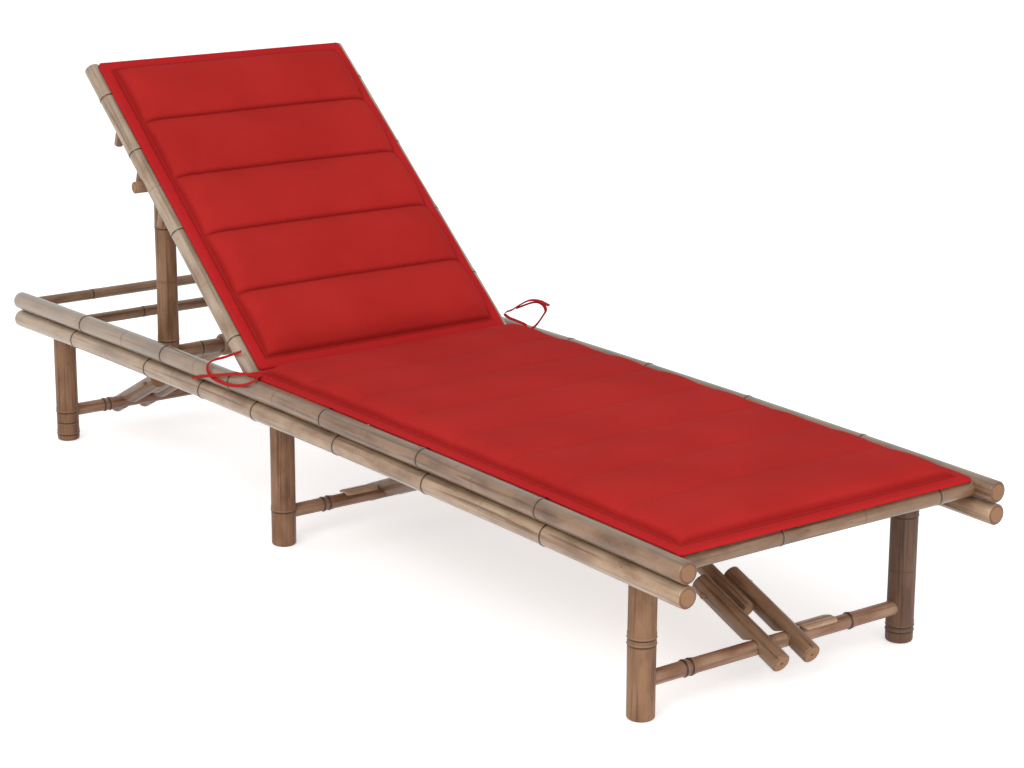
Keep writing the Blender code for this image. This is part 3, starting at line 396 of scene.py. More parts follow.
def bamboo_material(name, pale, warm, dark, end, crown=0.0, dull=0.45, head_highlight=0.0):
    """Dried bamboo: fine fibres and streaks along the culm, blotches, ringed knots and cut ends.

    It reads three UV maps of the piece: cane holds the distance along and around, knot the distance
    to the nearest knot and the place on a cut end, and the third the upward lean, which sets the painted
    shade on the top, and the culm's own seed. The crown is the share of that painted shade, a darker
    grey-green on the side that faces up. A duller culm has less of a glossy coat. The paler head end is
    a painted highlight, and the bore of a bored end is painted shade.
    """
    material, tree, surface = new_material(name)
    run, girth = uv_pair(tree, "cane")
    knot_gap, radial = uv_pair(tree, "knot")
    lean, own_seed = uv_pair(tree, "facing_and_seed")
    spot = add_node(tree, "ShaderNodeTexCoord").outputs["Object"]

    def along_fibres(length, width, detail):
        """Noise stretched along the culm: one patch is length long and width wide."""
        stretched = add_node(
            tree, "ShaderNodeCombineXYZ", X=number(tree, "MULTIPLY", run, 1 / length),
            Y=number(tree, "MULTIPLY", girth, 1 / width), Z=number(tree, "MULTIPLY", own_seed, 37.0),
        ).outputs[0]
        return noise(tree, stretched, 1.0, detail)

    fibre = along_fibres(0.05, 0.0007, 3.0)
    streak = along_fibres(0.22, 0.0060, 3.0)
    blotch = along_fibres(0.07, 0.0300, 4.0)
    scratch = along_fibres(0.014, 0.0022, 2.0)
    fleck = noise(tree, spot, 210.0, 2.0)

    colour = blend_colour(tree, ramp(tree, blotch, 0.36, 0.66), pale, warm)
    # Each mark's pattern, the values at which it starts and is full, its share when full and its colour.
    marks = (
        (blotch, 0.58, 0.74, 0.40, dark), (streak, 0.50, 0.72, 0.80, dark), (fibre, 0.50, 0.85, 0.40, dark),
        (fibre, 0.50, 0.15, 0.30, pale), (fleck, 0.66, 0.78, 0.55, dark), (scratch, 0.68, 0.78, 0.75, dark),
    )
    for pattern, low, high, most, over in marks:
        colour = blend_colour(tree, ramp(tree, pattern, low, high, most), colour, over)
    if head_highlight:
        # Painted highlight: the culm is painted paler toward its head end.
        colour = blend_colour(tree, ramp(tree, run, 0.85, 1.75, head_highlight), colour, (196, 182, 164))
    # Painted shade: the side that faces up is painted a darker grey-green.
    if crown:
        colour = blend_colour(tree, ramp(tree, lean, 0.50, 0.98, crown), colour, (106, 102, 86))
    # At each knot there is a warm bloom, a pale line on the ridge and a dark one in the groove.
    near = number(tree, "ABSOLUTE", knot_gap)
    off_ridge = number(tree, "ABSOLUTE", number(tree, "SUBTRACT", knot_gap, 0.0026))
    colour = blend_colour(tree, ramp(tree, near, 0.030, 0.004, 0.30), colour, warm)
    colour = blend_colour(tree, ramp(tree, off_ridge, 0.0016, 0.0004, 0.75), colour, pale)
    colour = blend_colour(tree, ramp(tree, near, 0.0024, 0.0008, 0.88), colour, (52, 34, 22))

    pores = noise(tree, spot, 900.0, 2.0)
    end_colour = blend_colour(tree, ramp(tree, pores, 0.45, 0.70, 0.45), end, dark)
    end_colour = blend_colour(tree, ramp(tree, radial, 0.78, 0.95, 0.70), end_colour, dark)
    # Painted shade: the hole of a bored end is painted almost black.
    end_colour = blend_colour(tree, ramp(tree, radial, 0.19, 0.12, 0.92), end_colour, (38, 24, 16))
    on_end = number(tree, "GREATER_THAN", radial, -0.5)
    colour = blend_colour(tree, on_end, colour, end_colour)
    tree.links.new(colour, surface["Base Color"])

    rough = number(tree, "ADD", number(tree, "MULTIPLY", streak, 0.22), dull - 0.05)
    rough = number(tree, "ADD", rough, number(tree, "MULTIPLY", on_end, 0.30), clamp=True)
    tree.links.new(rough, surface["Roughness"])
    surface["Specular IOR Level"].default_value = 0.32
    surface["Coat Weight"].default_value = max(0.0, 1.1 - 2 * dull)
    surface["Coat Roughness"].default_value = 0.22
    relief = number(tree, "ADD", number(tree, "MULTIPLY", fibre, 0.7), number(tree, "MULTIPLY", streak, 0.5))
    bump = add_node(tree, "ShaderNodeBump", Strength=0.30, Distance=0.0004, Height=relief)
    tree.links.new(bump.outputs[0], surface["Normal"])
    return material


def bell(value, middle, width):
    """A bell curve, 1 at its middle."""
    return np.exp(-((value - middle) / width) ** 2)


def culm(start, end, radius, knots=(), seed=0.0, columns=36, rise=None, cap="plug", ridge=1.0, flare=0.0,
         carve=None, trim=None):
    """A bamboo culm as a shell of rings along a line, lifted by rise(distance) where it is sprung.

    Its radius narrows by one hundredth between knots and grows by the flare's share toward its start. At
    each knot it has a groove, a sharp ridge and a softer second ridge, each a bell curve. The ends are
    rounded over, and a bored end goes in at its middle. carve(distance, height) gives each point's height
    over the axis, and trim(height) the length at which a slanting cut ends the culm.
    """
    start, end = np.array(start, float), np.array(end, float)
    length = float(np.linalg.norm(end - start))
    ahead = (end - start) / length
    level = np.array([0.0, 0.0, 1.0]) if abs(ahead[2]) < 0.9 else np.array([0.0, 1.0, 0.0])
    side = np.cross(ahead, level)
    side /= np.linalg.norm(side)
    top = np.cross(side, ahead)
    round_over = 0.05 * radius if cap == "cut" or trim else 0.22 * radius
    spacing = 0.0025 if carve else 0.02
    places = [np.linspace(round_over, length - round_over, max(4, round(length / spacing)))]
    for knot in knots:
        places.append(knot + np.linspace(-0.010, 0.012, 19))
    places = np.unique(np.round(np.concatenate(places), 5))
    places = places[(places >= round_over) & (places <= length - round_over)]

    # An end from its middle outward: how far in from the culm's end each ring lies, and its radius.
    bend = np.linspace(0, math.pi / 2, 5)[:-1, None]
    edge = round_over * np.hstack([1 - np.cos(bend), np.sin(bend)]) + [0, radius - round_over]
    flat = [(-0.02 * radius * (1 - share ** 2), share * radius) for share in (0.12, 0.35, 0.60, 0.80)]
    if cap == "bored":
        hole = 0.16 * radius
        flat = [
            (0.5 * radius, 0.5 * hole), (0.5 * radius, 0.95 * hole), (0.01 * radius, hole),
            (0.0, 1.25 * hole), (0.0, 0.50 * radius), (0.0, 0.75 * radius),
        ]
    end_ring = np.vstack([flat, edge])
    along = np.concatenate([end_ring[:, 0], places, length - end_ring[::-1, 0]])
    is_end = np.repeat([True, False, True], [len(end_ring), len(places), len(end_ring)])
    radii = np.concatenate([end_ring[:, 1], np.full(len(places), radius), end_ring[::-1, 1]])
    radii *= 1 + flare * (1 - along / length)

    to_knot = np.full(len(along), knot_reach)
    if len(knots):
        gaps = along[:, None] - np.array(knots)[None]
        nearest = np.argmin(np.abs(gaps), axis=1)
        to_knot = np.clip(gaps[np.arange(len(gaps)), nearest], -knot_reach, knot_reach)
    waist = 1 - 0.010 * (1 - np.exp(-np.abs(to_knot) / 0.03))
    lump = 0.0009 * bell(to_knot, 0.0012, 0.0016) + 0.0005 * bell(to_knot, 0.0068, 0.0024)
    lump -= 0.0004 * bell(to_knot, -0.0008, 0.0010)
    grown = np.where(is_end, radii, radii * waist + ridge * lump)
    wander = 0.0004 * np.sin(5.1 * along / 0.4 + 7 * seed) * np.sin(math.pi * np.clip(along / length, 0, 1))

    turn = 2 * math.pi * np.arange(columns) / columns - math.pi / 2
    oval = 1 + 0.012 * np.cos(2 * turn + 9 * seed)
    across = grown[:, None] * oval * np.cos(turn) + wander[:, None]
    height = grown[:, None] * oval * np.sin(turn) + 0.6 * wander[::-1, None]
    distance = along[:, None] + 0 * across
    if carve:
        height = carve(distance, height)
    if trim:
        # The last 70 mm are stretched or shortened to end at the cut.
        kept = length - 0.07
        share = np.clip((distance - kept) / (length - kept), 0, None)
        distance = np.where(distance > kept, kept + share * (trim(height) - kept), distance)
    rings = start + distance[..., None] * ahead + across[..., None] * side + height[..., None] * top
    if rise is not None:
        rings[..., 2] += rise(np.clip(along, 0, length))[:, None]

    around = np.arange(columns + 1) / columns * 2 * math.pi * radius
    cane = paired(along[:, None], around)
    # On an end the map grows to 1 at the rim. A plug's starts at a quarter, past the painted shade of a bore.
    # -1 is bark.
    radial = grown / radius if cap == "bored" else 0.25 + 0.75 * grown / radius
    radial = np.where(is_end & (grown <= 0.93 * radii.max()), radial, -1.0)
    knot_map = paired(to_knot[:, None], radial[:, None] + 0 * around)
    # The upward lean of each column, which the materials use for the painted shade on the top.
    lean = np.cos(turn) * side[2] + np.sin(turn) * top[2]
    facing_and_seed = paired(np.append(lean, lean[0]), np.full((len(grown), 1), seed))
    return shell(rings, {"cane": cane, "knot": knot_map, "facing_and_seed": facing_and_seed})


def rail_rise(place):
    """How far the rails are sprung up over their ends, at a distance from the foot end."""
    return rail_camber * (1 - (2 * place / rail_length - 1) ** 2)


rail_bamboo = bamboo_material(
    "rail_bamboo", (146, 113, 86), (118, 86, 62), (70, 46, 32), (146, 102, 66), crown=0.42, dull=0.30,
    head_highlight=0.42,
)
# The lower rails take a paler copy of the rail bamboo: painted light, standing for the highlight along them.
lower_rail_lit_bamboo = bamboo_material(
    "lower_rail_lit_bamboo", (182, 152, 123), (154, 121, 93), (90, 62, 43), (150, 105, 68), crown=0.35, dull=0.30,
    head_highlight=0.25,
)
for seed, (node, knots) in enumerate(rail_knots.items()):
    x = rail_spread * (-1 if "left" in node else 1)
    z = lower_end_height if "lower" in node else rail_end_height
    rail = culm(
        (x, -rail_length / 2, z), (x, rail_length / 2, z), rail_radius, knots, seed=0.13 + 0.21 * seed,
        columns=48, rise=rail_rise, ridge=1.15,
    )
    placed(
        "culm_" + node, mesh_of(node, rail), lower_rail_lit_bamboo if "lower" in node else rail_bamboo, "base",
        "pale_bamboo", node,
    )


# Crossbars. Thinner culms let into the rails: the foot bar, two head bars, and three
# darker bars between the lower rails that the braces and posts hang on.
bar_reach = rail_spread - 0.006
# Each bar's distance from the foot end, its rails' height at the ends, its own offset, its radius and knots.
crossbars = {
    "foot_bar": (0.045, rail_end_height, -0.0020, 0.0135, (0.200, 0.520)),
    "head_bar_inner": (1.757, rail_end_height, 0.0, 0.0102, (0.130, 0.380)),
    "head_bar_outer": (1.964, rail_end_height, 0.0, 0.0102, (0.130, 0.440)),
    "brace_bar_foot": (0.600, lower_end_height, 0.0, 0.0135, (0.180, 0.470)),
    "brace_bar_middle": (0.660, lower_end_height, 0.0, 0.0135, (0.120, 0.410)),
    "prop_bar": (1.555, lower_end_height, 0.0, 0.0135, (0.140, 0.430)),
}
bar_bamboo = bamboo_material(
    "bar_bamboo", (145, 114, 88), (122, 90, 65), (74, 50, 34), (158, 118, 84), crown=0.20, dull=0.38,
)
brace_bamboo = bamboo_material(
    "brace_bamboo", (152, 120, 94), (126, 95, 71), (68, 44, 31), (164, 118, 80), dull=0.38,
)
for seed, (node, (place, height, offset, radius, knots)) in enumerate(crossbars.items()):
    y, z = place - rail_length / 2, height + rail_rise(place) + offset
    bar = culm(
        (-bar_reach, y, z), (bar_reach, y, z), radius, knots, seed=0.31 + 0.17 * seed, columns=32, cap="cut",
        ridge=0.8,
    )
    dark = "brace" in node or "prop" in node
    placed(
        "culm_" + node, mesh_of(node, bar), brace_bamboo if dark else bar_bamboo, "base",
        "brown_bamboo" if dark else "grey_bamboo", node,
    )


# Legs. Six stout vertical culms that fold on dowels in the lower rails, each pair
# joined near the ground by a round stretcher let into both.
leg_spread = 0.2628
leg_radius = 0.0215
leg_head = 0.0180
stretcher_height = 0.0570
stretcher_radius = 0.0120
stretcher_reach = leg_spread - leg_radius + 0.0115
# Each leg's distance from the foot end, the heights of its knots and its seed.
legs = {
    "foot_leg_left": (0.146, (0.114, 0.124), 0.17), "foot_leg_right": (0.146, (0.018, 0.026, 0.205), 0.61),
    "middle_leg_left": (1.107, (0.062,), 0.35), "middle_leg_right": (1.107, (0.170,), 0.83),
    "head_leg_left": (1.908, (0.057, 0.012), 0.05), "head_leg_right": (1.908, (0.140,), 0.44),
}
leg_bamboo = bamboo_material(
    "leg_bamboo", (147, 109, 80), (122, 85, 59), (76, 48, 33), (156, 112, 74), dull=0.50,
)
# The right leg at the foot end takes a darker copy of the leg bamboo: painted shade.
shaded_leg_bamboo = bamboo_material(
    "shaded_leg_bamboo", (112, 82, 63), (92, 64, 48), (54, 34, 25), (146, 104, 70), dull=0.50,
)
for node, (place, knots, seed) in legs.items():
    x, y = leg_spread * (-1 if "left" in node else 1), place - rail_length / 2
    height = lower_end_height + rail_rise(place) + leg_head
    leg = culm((x, y, 0.0), (x, y, height), leg_radius, knots, seed=seed, columns=48, ridge=1.3)
    placed(
        "culm_" + node, mesh_of(node, leg), shaded_leg_bamboo if node == "foot_leg_right" else leg_bamboo,
        node.split("_")[0] + "_legs", "brown_bamboo", node,
    )

stretcher_bamboo = bamboo_material(
    "stretcher_bamboo", (168, 132, 105), (142, 100, 76), (86, 52, 36), (160, 116, 78), dull=0.42,
)
for seed, where in enumerate(("foot", "middle", "head")):
    y = legs[where + "_leg_left"][0] - rail_length / 2
    node = where + "_stretcher"
    rod = culm(
        (-stretcher_reach, y, stretcher_height), (stretcher_reach, y, stretcher_height), stretcher_radius,
        (0.068, 0.080, 0.400), seed=0.27 * seed + 0.4, columns=32, cap="cut", ridge=2.0,
    )
    placed("culm_" + node, mesh_of(node, rod), stretcher_bamboo, where + "_legs", "brown_bamboo", node)


# Braces. A centre pole hung on a crossbar by an eye, and two short thick poles beside
# its lower end, pinned to it by a peg and notched to sit over the stretcher.
brace_facing = {"foot": -1, "middle": 1, "head": 1}
brace_middle = {"foot": 0.0, "middle": -0.022, "head": -0.100}
brace_bar_of = {"foot": "brace_bar_foot", "middle": "brace_bar_middle", "head": "prop_bar"}
pole_radius = 0.0130
fork_radius = 0.0160
fork_length = 0.200
fork_offset = pole_radius + 0.0020 + fork_radius
peg_radius = 0.0050
# Along a brace: the pole's start from its bar, and the pole's end and the peg from the stretcher.
pole_top = 0.0180
pole_end = 0.070
peg_height = 0.123
# The notch lies so far down a fork pole, whose last 48 mm run on past the stretcher.
notch_at = fork_length - 0.048
notch_drop = 0.0040
notch_radius = stretcher_radius + 0.0006
# Where the round part of the notch ends, its height there, and the slope from there on.
slope_start = 0.0082
slope_height = 0.0094
slope_fall = math.radians(41)


def eye_ring(middle, width, inner, outer):
    """A short thick ring round an axis along X: a rounded oblong carried once round in a circle."""
    corner = np.array([
        (-1, -1), (-1, -0.6), (-1, 0.6), (-0.85, 1), (0, 1), (0.85, 1), (1, 0.6), (1, -0.6), (1, -1), (0, -1),
    ])
    steps = 40
    across = corner[:, 0] * width / 2
    radii = (inner + outer) / 2 + corner[:, 1] * (outer - inner) / 2
    turn = 2 * math.pi * np.arange(steps)[:, None] / steps
    rings = np.stack(np.broadcast_arrays(
        middle[0] + across, middle[1] + np.cos(turn) * radii, middle[2] + np.sin(turn) * radii,
    ), axis=-1)
    run = np.arange(steps + 1) / steps * 2 * math.pi * outer
    girth = np.arange(len(corner) + 1) * 0.006
    cane = paired(girth, run[:, None])
    plain = np.broadcast_to([knot_reach, -1.0], cane.shape)
    facing_and_seed = np.broadcast_to([0.0, 0.4], cane.shape)
    return shell(rings, {"cane": cane, "knot": plain, "facing_and_seed": facing_and_seed}, loop=True)


def over_stretcher(distance, height):
    """A fork pole's underside, lifted to a notch that is round over the stretcher and slopes off uphill."""
    uphill = notch_at - distance
    bow = -notch_drop + np.sqrt(np.clip(notch_radius ** 2 - uphill ** 2, 0, None))
    slope = -notch_drop + slope_height - (uphill - slope_start) * math.tan(slope_fall)
    floor_line = np.where(uphill > slope_start, slope, bow)
    return np.where(uphill < -notch_radius, height, np.maximum(height, floor_line))


for seed, where in enumerate(("foot", "middle", "head")):
    bar_place = crossbars[brace_bar_of[where]][0]
    bar_lift = lower_end_height + rail_rise(bar_place)
    run, drop = abs(legs[where + "_leg_left"][0] - bar_place), bar_lift - stretcher_height
    along = math.sqrt(run ** 2 + drop ** 2 - notch_drop ** 2)
    slope = math.atan2(drop, run) - math.asin(notch_drop / math.hypot(run, drop))
    hung = np.array([brace_middle[where], bar_place - rail_length / 2, bar_lift])
    down = np.array([0.0, brace_facing[where] * math.cos(slope), -math.sin(slope)])
    body = where + "_brace"
    node = body + "_pole"
    pole = culm(
        hung + pole_top * down, hung + (along - pole_end) * down, pole_radius, (0.142,),
        seed=0.23 + 0.2 * seed, columns=32,
    )
    eye = eye_ring(hung, width=0.034, inner=0.0140, outer=0.0205)
    placed("culm_" + node, mesh_of(node, pole, eye), brace_bamboo, body, "brown_bamboo", node)
    for side_name, sign in (("left", -1), ("right", 1)):
        at = hung + np.array([sign * fork_offset, 0.0, 0.0])
        node = f"{where}_fork_{side_name}"
        fork = culm(
            at + (along - notch_at) * down, at + (along - notch_at + fork_length) * down, fork_radius,
            seed=0.11 + 0.2 * seed + 0.37 * (sign > 0), columns=40, cap="bored", carve=over_stretcher,
        )
        placed("culm_" + node, mesh_of(node, fork), brace_bamboo, body, "brown_bamboo", node)
    pin = hung + (along - peg_height) * down
    proud = np.array([fork_offset + fork_radius + 0.004, 0.0, 0.0])
    peg = culm(pin - proud, pin + proud, peg_radius, seed=0.9, columns=20)
    node = where + "_fork_peg"
    placed("turned_" + node, mesh_of(node, peg), stretcher_bamboo, body, "dark_dowel", node)


# Back frame. Two long poles hinged at the rails, three hook pegs under each, and the
# prop rod that lies in the middle pair of hooks.
hinge_place = 1.1808
back_angle = math.radians(40.24)
back_spread = 0.2675
back_radius = 0.0150
back_start, back_end = -0.012, 0.732
back_knots = {"left": (0.085, 0.330, 0.520, 0.655), "right": (0.140, 0.300, 0.470, 0.640)}
hinge = np.array([0.0, hinge_place - rail_length / 2, rail_end_height + rail_rise(hinge_place)])
up_back = np.array([0.0, math.cos(back_angle), math.sin(back_angle)])
off_back = np.array([0.0, -math.sin(back_angle), math.cos(back_angle)])


def on_back(x, along, off):
    """The place x across, so far up the back from its hinge, and so far off its plane."""
    return hinge + np.array([x, 0, 0]) + along * up_back + off * off_back


pole_bamboo = bamboo_material(
    "pole_bamboo", (180, 160, 138), (158, 132, 108), (104, 80, 60), (158, 118, 84), crown=0.60, dull=0.32,
)
for seed, (side_name, knots) in enumerate(back_knots.items()):
    x = back_spread * (-1 if side_name == "left" else 1)
    node = "back_pole_" + side_name
    pole = culm(
        on_back(x, back_start, 0), on_back(x, back_end, 0), back_radius,
        [knot - back_start for knot in knots], seed=0.55 + 0.3 * seed, columns=40,
    )
    placed("culm_" + node, mesh_of(node, pole), pole_bamboo, "back", "grey_bamboo", node)

hook_places = {"low": 0.399, "middle": 0.497, "high": 0.595}
hook_radius = 0.0080
hook_root = 0.003
hook_reach = 0.044
hook_lean = math.radians(23)
hook_way = -math.sin(hook_lean) * up_back - math.cos(hook_lean) * off_back
for seed, (level_name, place) in enumerate(hook_places.items()):
    for side_name, sign in (("left", -1), ("right", 1)):
        node = f"hook_peg_{level_name}_{side_name}"
        root = on_back(sign * back_spread, place, 0)
        peg = culm(
            root - hook_root * hook_way, root + hook_reach * hook_way, hook_radius,
            seed=0.2 * seed + 0.1 * sign, columns=28,
        )
        placed("turned_" + node, mesh_of(node, peg), stretcher_bamboo, "back", "brown_bamboo", node)

rod_along = 0.46487
rod_off = -0.0263
rod_reach = 0.290
rod_radius = 0.0110
rod = culm(
    on_back(-rod_reach, rod_along, rod_off), on_back(rod_reach, rod_along, rod_off), rod_radius,
    (0.190, 0.430), seed=0.72, columns=32,
)
placed("culm_prop_rod", mesh_of("prop_rod", rod), stretcher_bamboo, "back", "brown_bamboo", "prop_rod")


# Props. Two thick posts that turn on the prop bar near their feet, their tops cut to a
# blunt ridge that meets the rod's underside 44 degrees round toward the head.
post_radius = 0.0190
post_spread = 0.2280
post_foot = 0.0240
ridge_turn = math.radians(44)
prop_bar_y = crossbars["prop_bar"][0] - rail_length / 2
bar_height = lower_end_height + rail_rise(crossbars["prop_bar"][0])
rod_middle = on_back(0.0, rod_along, rod_off)
ridge_y = rod_middle[1] - prop_bar_y + (rod_radius + 0.0003) * math.sin(ridge_turn)
ridge_height = rod_middle[2] - (rod_radius + 0.0006) * math.cos(ridge_turn) - bar_height + post_foot


def ridged_top(toward_head):
    """The post's length at its slanting cut: steep up to the ridge, and less steep from there on."""
    beyond = toward_head - ridge_y
    steepness = np.where(beyond < 0, math.tan(math.radians(50)), math.tan(math.radians(36)))
    return ridge_height + steepness * beyond


for side_name, sign in (("left", -1), ("right", 1)):
    x, low = sign * post_spread, bar_height - post_foot
    post = culm(
        (x, prop_bar_y, low), (x, prop_bar_y, low + ridge_height + 0.012), post_radius,
        (0.050, 0.262 if sign < 0 else 0.180), seed=0.38 + 0.3 * (sign > 0), columns=44, flare=0.05,
        trim=ridged_top,
    )
    node = "prop_post_" + side_name
    placed("culm_" + node, mesh_of(node, post), leg_bamboo, "prop", "brown_bamboo", node)


# Slat decks, hinge dowels and clips: split bamboo strips let into round bars under
# the cushion, plain dowels, and two short strips lying on the stretchers.
split_bamboo = bamboo_material(
    "split_bamboo", (212, 180, 150), (192, 158, 128), (128, 96, 72), (188, 154, 118), dull=0.5,
)


def strip(spine, width, thickness, bow, sideways, seed, knotted=True):
    """A split strip of culm along a line of points: a bowed top and underside, and rounded ends."""
    ahead, travelled = course(spine)
    sideways = np.array(sideways, float)
    upward = np.cross(sideways, ahead)
    lateral = np.linspace(-1, 1, 9)
    section = np.concatenate([
        np.stack([lateral, thickness - bow * lateral ** 2], axis=1),
        np.stack([0.97 * lateral[::-1], -bow * lateral[::-1] ** 2], axis=1),
    ])
    to_end = np.minimum(travelled, travelled[-1] - travelled)
    narrow = 1 - 0.22 * np.clip(1 - to_end / 0.004, 0, 1) ** 2
    rings = (
        spine[:, None] + (width / 2 * narrow[:, None] * section[None, :, 0])[..., None] * sideways
        + section[None, :, 1][..., None] * upward[:, None]
    )
    cane = paired(travelled[:, None], np.linspace(0, 2 * width, len(section) + 1))
    to_knot = np.full(len(spine), knot_reach)
    if knotted:
        to_knot = np.clip(travelled - (0.31 + 0.4 * seed) * travelled[-1], -knot_reach, knot_reach)
    knot_map = paired(to_knot[:, None], np.full(cane.shape[:2], -1.0))
    facing_and_seed = np.broadcast_to([0.5, seed], cane.shape)
    return shell(rings[:, ::-1], {"cane": cane, "knot": knot_map, "facing_and_seed": facing_and_seed})


slat_width = 0.0360
slat_thickness = 0.0050
slat_bow = 0.0006
slat_pitch = 0.0490
slat_sink = 0.0005
seat_bar_places = (0.450, 0.800, 1.145)
seat_bar_radius = 0.0120
seat_bar_drop = 0.0035
back_bar_places = (0.100, 0.345, 0.690)
back_bar_radius = 0.0100
back_bar_lift = 0.0017
back_bar_reach = 0.2600
seat_level = seat_bar_radius - seat_bar_drop - slat_sink
back_level = back_bar_radius + back_bar_lift - slat_sink
shells = []
for place in seat_bar_places:
    y, z = place - rail_length / 2, rail_end_height + rail_rise(place) - seat_bar_drop
    shells.append(culm(
        (-bar_reach, y, z), (bar_reach, y, z), seat_bar_radius, (0.160, 0.430), seed=place, columns=28,
        cap="cut",
    ))
place = np.concatenate([[0.064, 0.066], np.linspace(0.07, 1.15, 40), [1.155, 1.157]])
lift = rail_end_height + rail_rise(place) + seat_level
for index in range(11):
    spine = np.stack([np.full(len(place), (index - 5) * slat_pitch), place - rail_length / 2, lift], axis=1)
    shells.append(strip(spine, slat_width, slat_thickness, slat_bow, (1, 0, 0), (index * 0.37) % 1))
placed(
    "split_seat_slat_deck", mesh_of("seat_slat_deck", *shells), split_bamboo, "base", "grey_bamboo",
    "seat_slat_deck",
)

shells = [
    culm(
        on_back(-back_bar_reach, place, back_bar_lift), on_back(back_bar_reach, place, back_bar_lift),
        back_bar_radius, (0.120, 0.390), seed=place, columns=28, cap="cut",
    )
    for place in back_bar_places
]
place = np.concatenate([[0.040, 0.042], np.linspace(0.046, 0.716, 20), [0.720, 0.722]])
for index in range(10):
    spine = on_back((index - 4.5) * slat_pitch, 0.0, back_level) + place[:, None] * up_back
    shells.append(strip(spine, slat_width, slat_thickness, slat_bow, (1, 0, 0), (index * 0.29 + 0.1) % 1))
placed(
    "split_back_slat_deck", mesh_of("back_slat_deck", *shells), split_bamboo, "back", "grey_bamboo",
    "back_slat_deck",
)

pin_inner = 0.2750
pin_outer = 0.3010
pin_radius = 0.0050
for side_name, sign in (("left", -1), ("right", 1)):
    ends = [(x, hinge[1], hinge[2]) for x in sorted((sign * pin_outer, sign * pin_inner))]
    dowel = culm(*ends, pin_radius, seed=0.5, columns=20, cap="cut")
    node = "hinge_pin_" + side_name
    placed("turned_" + node, mesh_of(node, dowel), stretcher_bamboo, "base", "dark_dowel", node)

for where, centre in (("foot", 0.082), ("middle", -0.106)):
    x = centre + np.concatenate([[-0.0330, -0.0320], np.linspace(-0.030, 0.030, 13), [0.0320, 0.0330]])
    y = legs[where + "_leg_left"][0] - rail_length / 2
    z = stretcher_height + stretcher_radius + 0.0006
    spine = np.stack(np.broadcast_arrays(x, y, z), axis=1)
    clip = strip(
        spine, width=0.0300, thickness=0.0035, bow=0.0025, sideways=(0, -1, 0), seed=0.3, knotted=False,
    )
    node = where + "_clip"
    placed("split_" + node, mesh_of(node, clip), split_bamboo, where + "_legs", "grey_bamboo", node)


# Cushion. Two red canvas pads, each with a flat sewn border, a groove inside it, and
# panels stuffed between stitched channels: eight across the seat and five across the back.
cushion_cloth = canvas_material("red_canvas", thread=0.0014, sewn=True)
border = 0.0235
corner = 0.010
pad_gap = 0.0006
edge_stops = np.array([0, 0.0003, 0.0010, 0.0022, 0.0040, 0.0080, 0.0130, 0.0180, 0.0205, 0.0220])
seam_stops = np.array([
    0, 0.0008, 0.0018, 0.0032, 0.0050, 0.0075, 0.0110, 0.0150, 0.0200, 0.0260, 0.0320, 0.0380, 0.0440, 0.0500,
])
seat_base = seat_level + slat_thickness + pad_gap
back_base = back_level + slat_thickness + pad_gap
# Each pad's half width, its start and end along the frame, its panels, the height of their puff, the share
# of it that the channels keep, the panels' bluntness, the right edge's scallops and inset, and the body.
pads = {
    "seat_cushion": (0.3000, 0.030, 1.1632, 8, 0.0215, 0.76, 0.90, 0.0042, 0.0110, "base"),
    "back_cushion": (0.2660, 0.002, 0.727, 5, 0.0310, 0.36, 0.55, 0.0015, 0.0, "back"),
}


def stops(total, spans):
    """Distances from one edge to the other: close together at the edges, the grooves and each seam."""
    span = (total - 2 * border) / spans
    near = seam_stops[seam_stops < span / 2 - 0.003]
    between = np.linspace(near[-1], span - near[-1], max(2, round((span - 2 * near[-1]) / 0.007)) + 1)[1:-1]
    panel = np.concatenate([near, between, span - near[:0:-1]])
    inside = (border + span * np.arange(spans)[:, None] + panel).ravel()
    return np.concatenate([edge_stops, inside, [total - border], total - edge_stops[::-1]])


def swelling(inset, foot, reach):
    """A quarter circle's rise from 0 at its foot inward, full one reach further in."""
    return np.sqrt(1 - (1 - np.clip((inset - foot) / reach, 0, 1)) ** 2)


def gap_to(place, places):
    """The distance from each place to the nearest of a few places."""
    return np.abs(place[..., None] - np.array(places)).min(axis=-1)


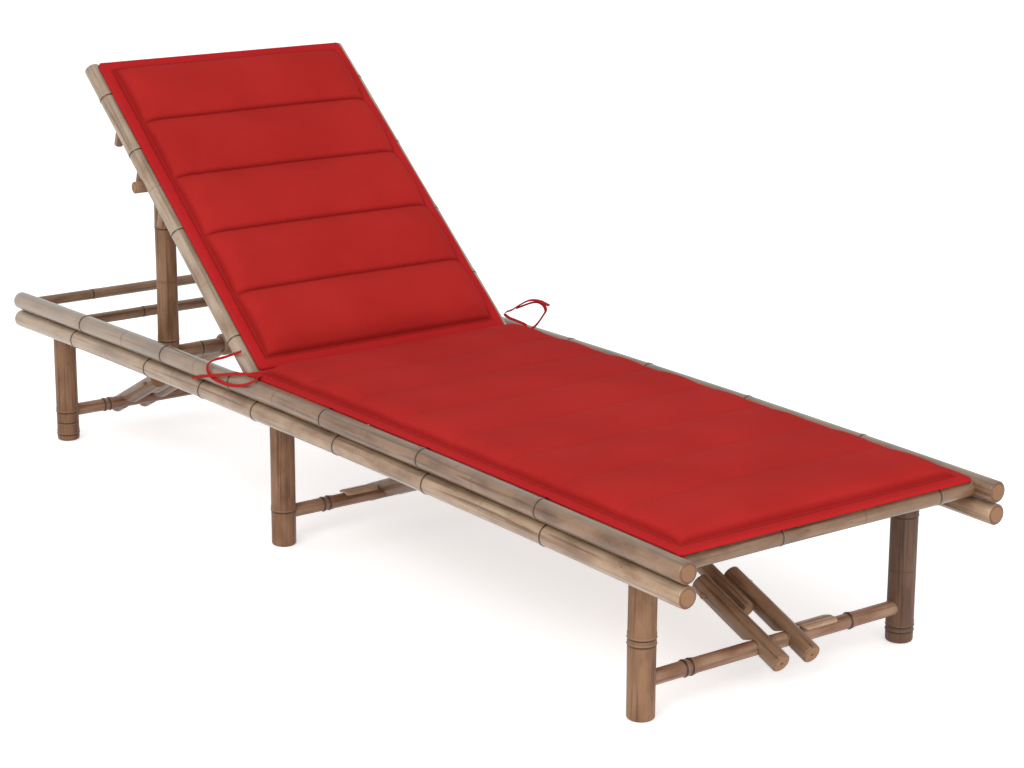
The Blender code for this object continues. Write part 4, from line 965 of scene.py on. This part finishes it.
for node, pad_sizes in pads.items():
    half_width, start, end, panels, puff, share, bluntness, scallop, right_inset, body = pad_sizes
    length = end - start
    span = (length - 2 * border) / panels
    run, cross = np.meshgrid(stops(length, panels), stops(2 * half_width, 1) - half_width, indexing="ij")
    to_end = np.minimum(run, length - run)
    to_side = half_width - np.abs(cross)
    inset = np.minimum(to_end, to_side)
    phase = np.clip((run - border) / span, 0, panels)
    panel = np.abs(np.sin(math.pi * phase)) ** bluntness
    to_seam = np.abs(phase - np.round(phase)) * span
    # Height over the underside: a thin rounded border, then a puff that is highest midway between two
    # channels, with a groove at the border, a crease at each channel, and small puckers dying away from both.
    top = 0.0006 + 0.0048 * swelling(inset, 0, 0.0035)
    full = swelling(to_side, border, 0.042) * swelling(to_end, border, 0.030)
    top += puff * full * (share + (1 - share) * panel)
    top += 0.0016 * full * np.sin(9 * cross + 4.1 * run + 1) * np.sin(7.3 * run - 5 * cross)
    top -= 0.0020 * bell(inset, border, 0.0026)
    top -= (0.0020 - 0.0018 * bluntness) * full * bell(to_seam, 0, 0.0016)
    pucker = np.sin(2 * math.pi * cross / 0.023 + 2.2 * np.sin(31 * cross + 5 * np.round(phase)))
    top += 0.0007 * full * pucker * np.exp(-to_seam / 0.012) * np.clip(to_seam / 0.002, 0, 1)
    pucker = np.sin(2 * math.pi * run / 0.026 + 2.0 * np.sin(23 * run))
    top += 0.0006 * pucker * np.exp(-np.abs(to_side - border) / 0.008) * np.clip(to_side / 0.010, 0, 1)

    # The corners are rounded, and the right edge is drawn in, most at each channel.
    rounded = np.sqrt(np.clip(corner ** 2 - (corner - to_end) ** 2, 0, None)) - corner
    narrow = np.where(to_end < corner, rounded, 0)
    scalloped = scallop * (1 - np.abs(np.sin(math.pi * panels * run / length)) ** 0.7)
    drawn = np.where(cross > 0, -right_inset - scalloped, -0.0004)
    near_edge = np.clip((np.abs(cross) - half_width + 0.09) / 0.06, 0, 1)
    x = cross + np.sign(cross) * (narrow + drawn) * near_edge
    place = start + run
    left_gap, right_gap = (gap_to(place, rail_knots["upper_rail_" + side]) for side in ("left", "right"))
    # The radius at which cloth lies on the rail, larger at the knots.
    rail_line = 0.0173 + 0.0013 * bell(np.where(cross < 0, left_gap, right_gap), 0, 0.007)
    layers = []
    for height in (top, 0 * top):
        if body == "base":
            lift = rail_end_height + rail_rise(place) + seat_base
            # The border rises over the rail's inner side.
            beside_rail = np.minimum(rail_spread - np.abs(x), rail_line)
            lift += np.clip(np.sqrt(rail_line ** 2 - beside_rail ** 2) - seat_base, 0, None)
            if height is not top:
                # The underside sags a little between rail and outermost slat, less over the crossbars.
                sag = 0.0062 * bell(np.abs(x), 0.2870, 0.0045)
                sag *= 1 - 0.13 * bell(gap_to(place, seat_bar_places), 0, 0.012)
                lift -= sag * np.clip((1.140 - place) / 0.02, 0, 1) * np.clip(run / 0.004, 0, 1)
            layers.append(np.stack([x, place - rail_length / 2, lift + height], axis=-1))
        else:
            off = back_base + height
            layers.append(
                hinge + x[..., None] * np.array([1.0, 0, 0]) + place[..., None] * up_back
                + off[..., None] * off_back
            )
    # Each ring runs over the top from left to right and back underneath, so the pad is one closed tube.
    rings = np.concatenate([layers[0], layers[1][:, ::-1]], axis=1)[:, ::-1]
    girth = np.concatenate([cross, 2 * half_width - cross[:, ::-1]], axis=1)[:, ::-1]
    girth = np.concatenate([girth, girth[:, :1]], axis=1)
    cloth = paired(place[:, :1], girth)
    # The painted shade along the seat's blunt channels is fainter.
    within = np.minimum(inset - border, to_seam + 0.015 * (bluntness - 0.55))
    aside = np.where(inset < border, inset - border, within)
    follows_side = (to_side < to_end) & (to_side - border < to_seam)
    seam = paired(aside, np.where(follows_side, run, cross))
    # The underside has no seam: its map says 50 mm away.
    seam = np.concatenate([seam, np.broadcast_to([0.05, 0.0], seam.shape)], axis=1)[:, ::-1]
    seam = np.concatenate([seam, seam[:, :1]], axis=1)
    pad = placed(
        "pad_" + node, mesh_of(node, shell(rings, {"cloth": cloth, "seam": seam})), cushion_cloth, body,
        "red_canvas", node,
    )
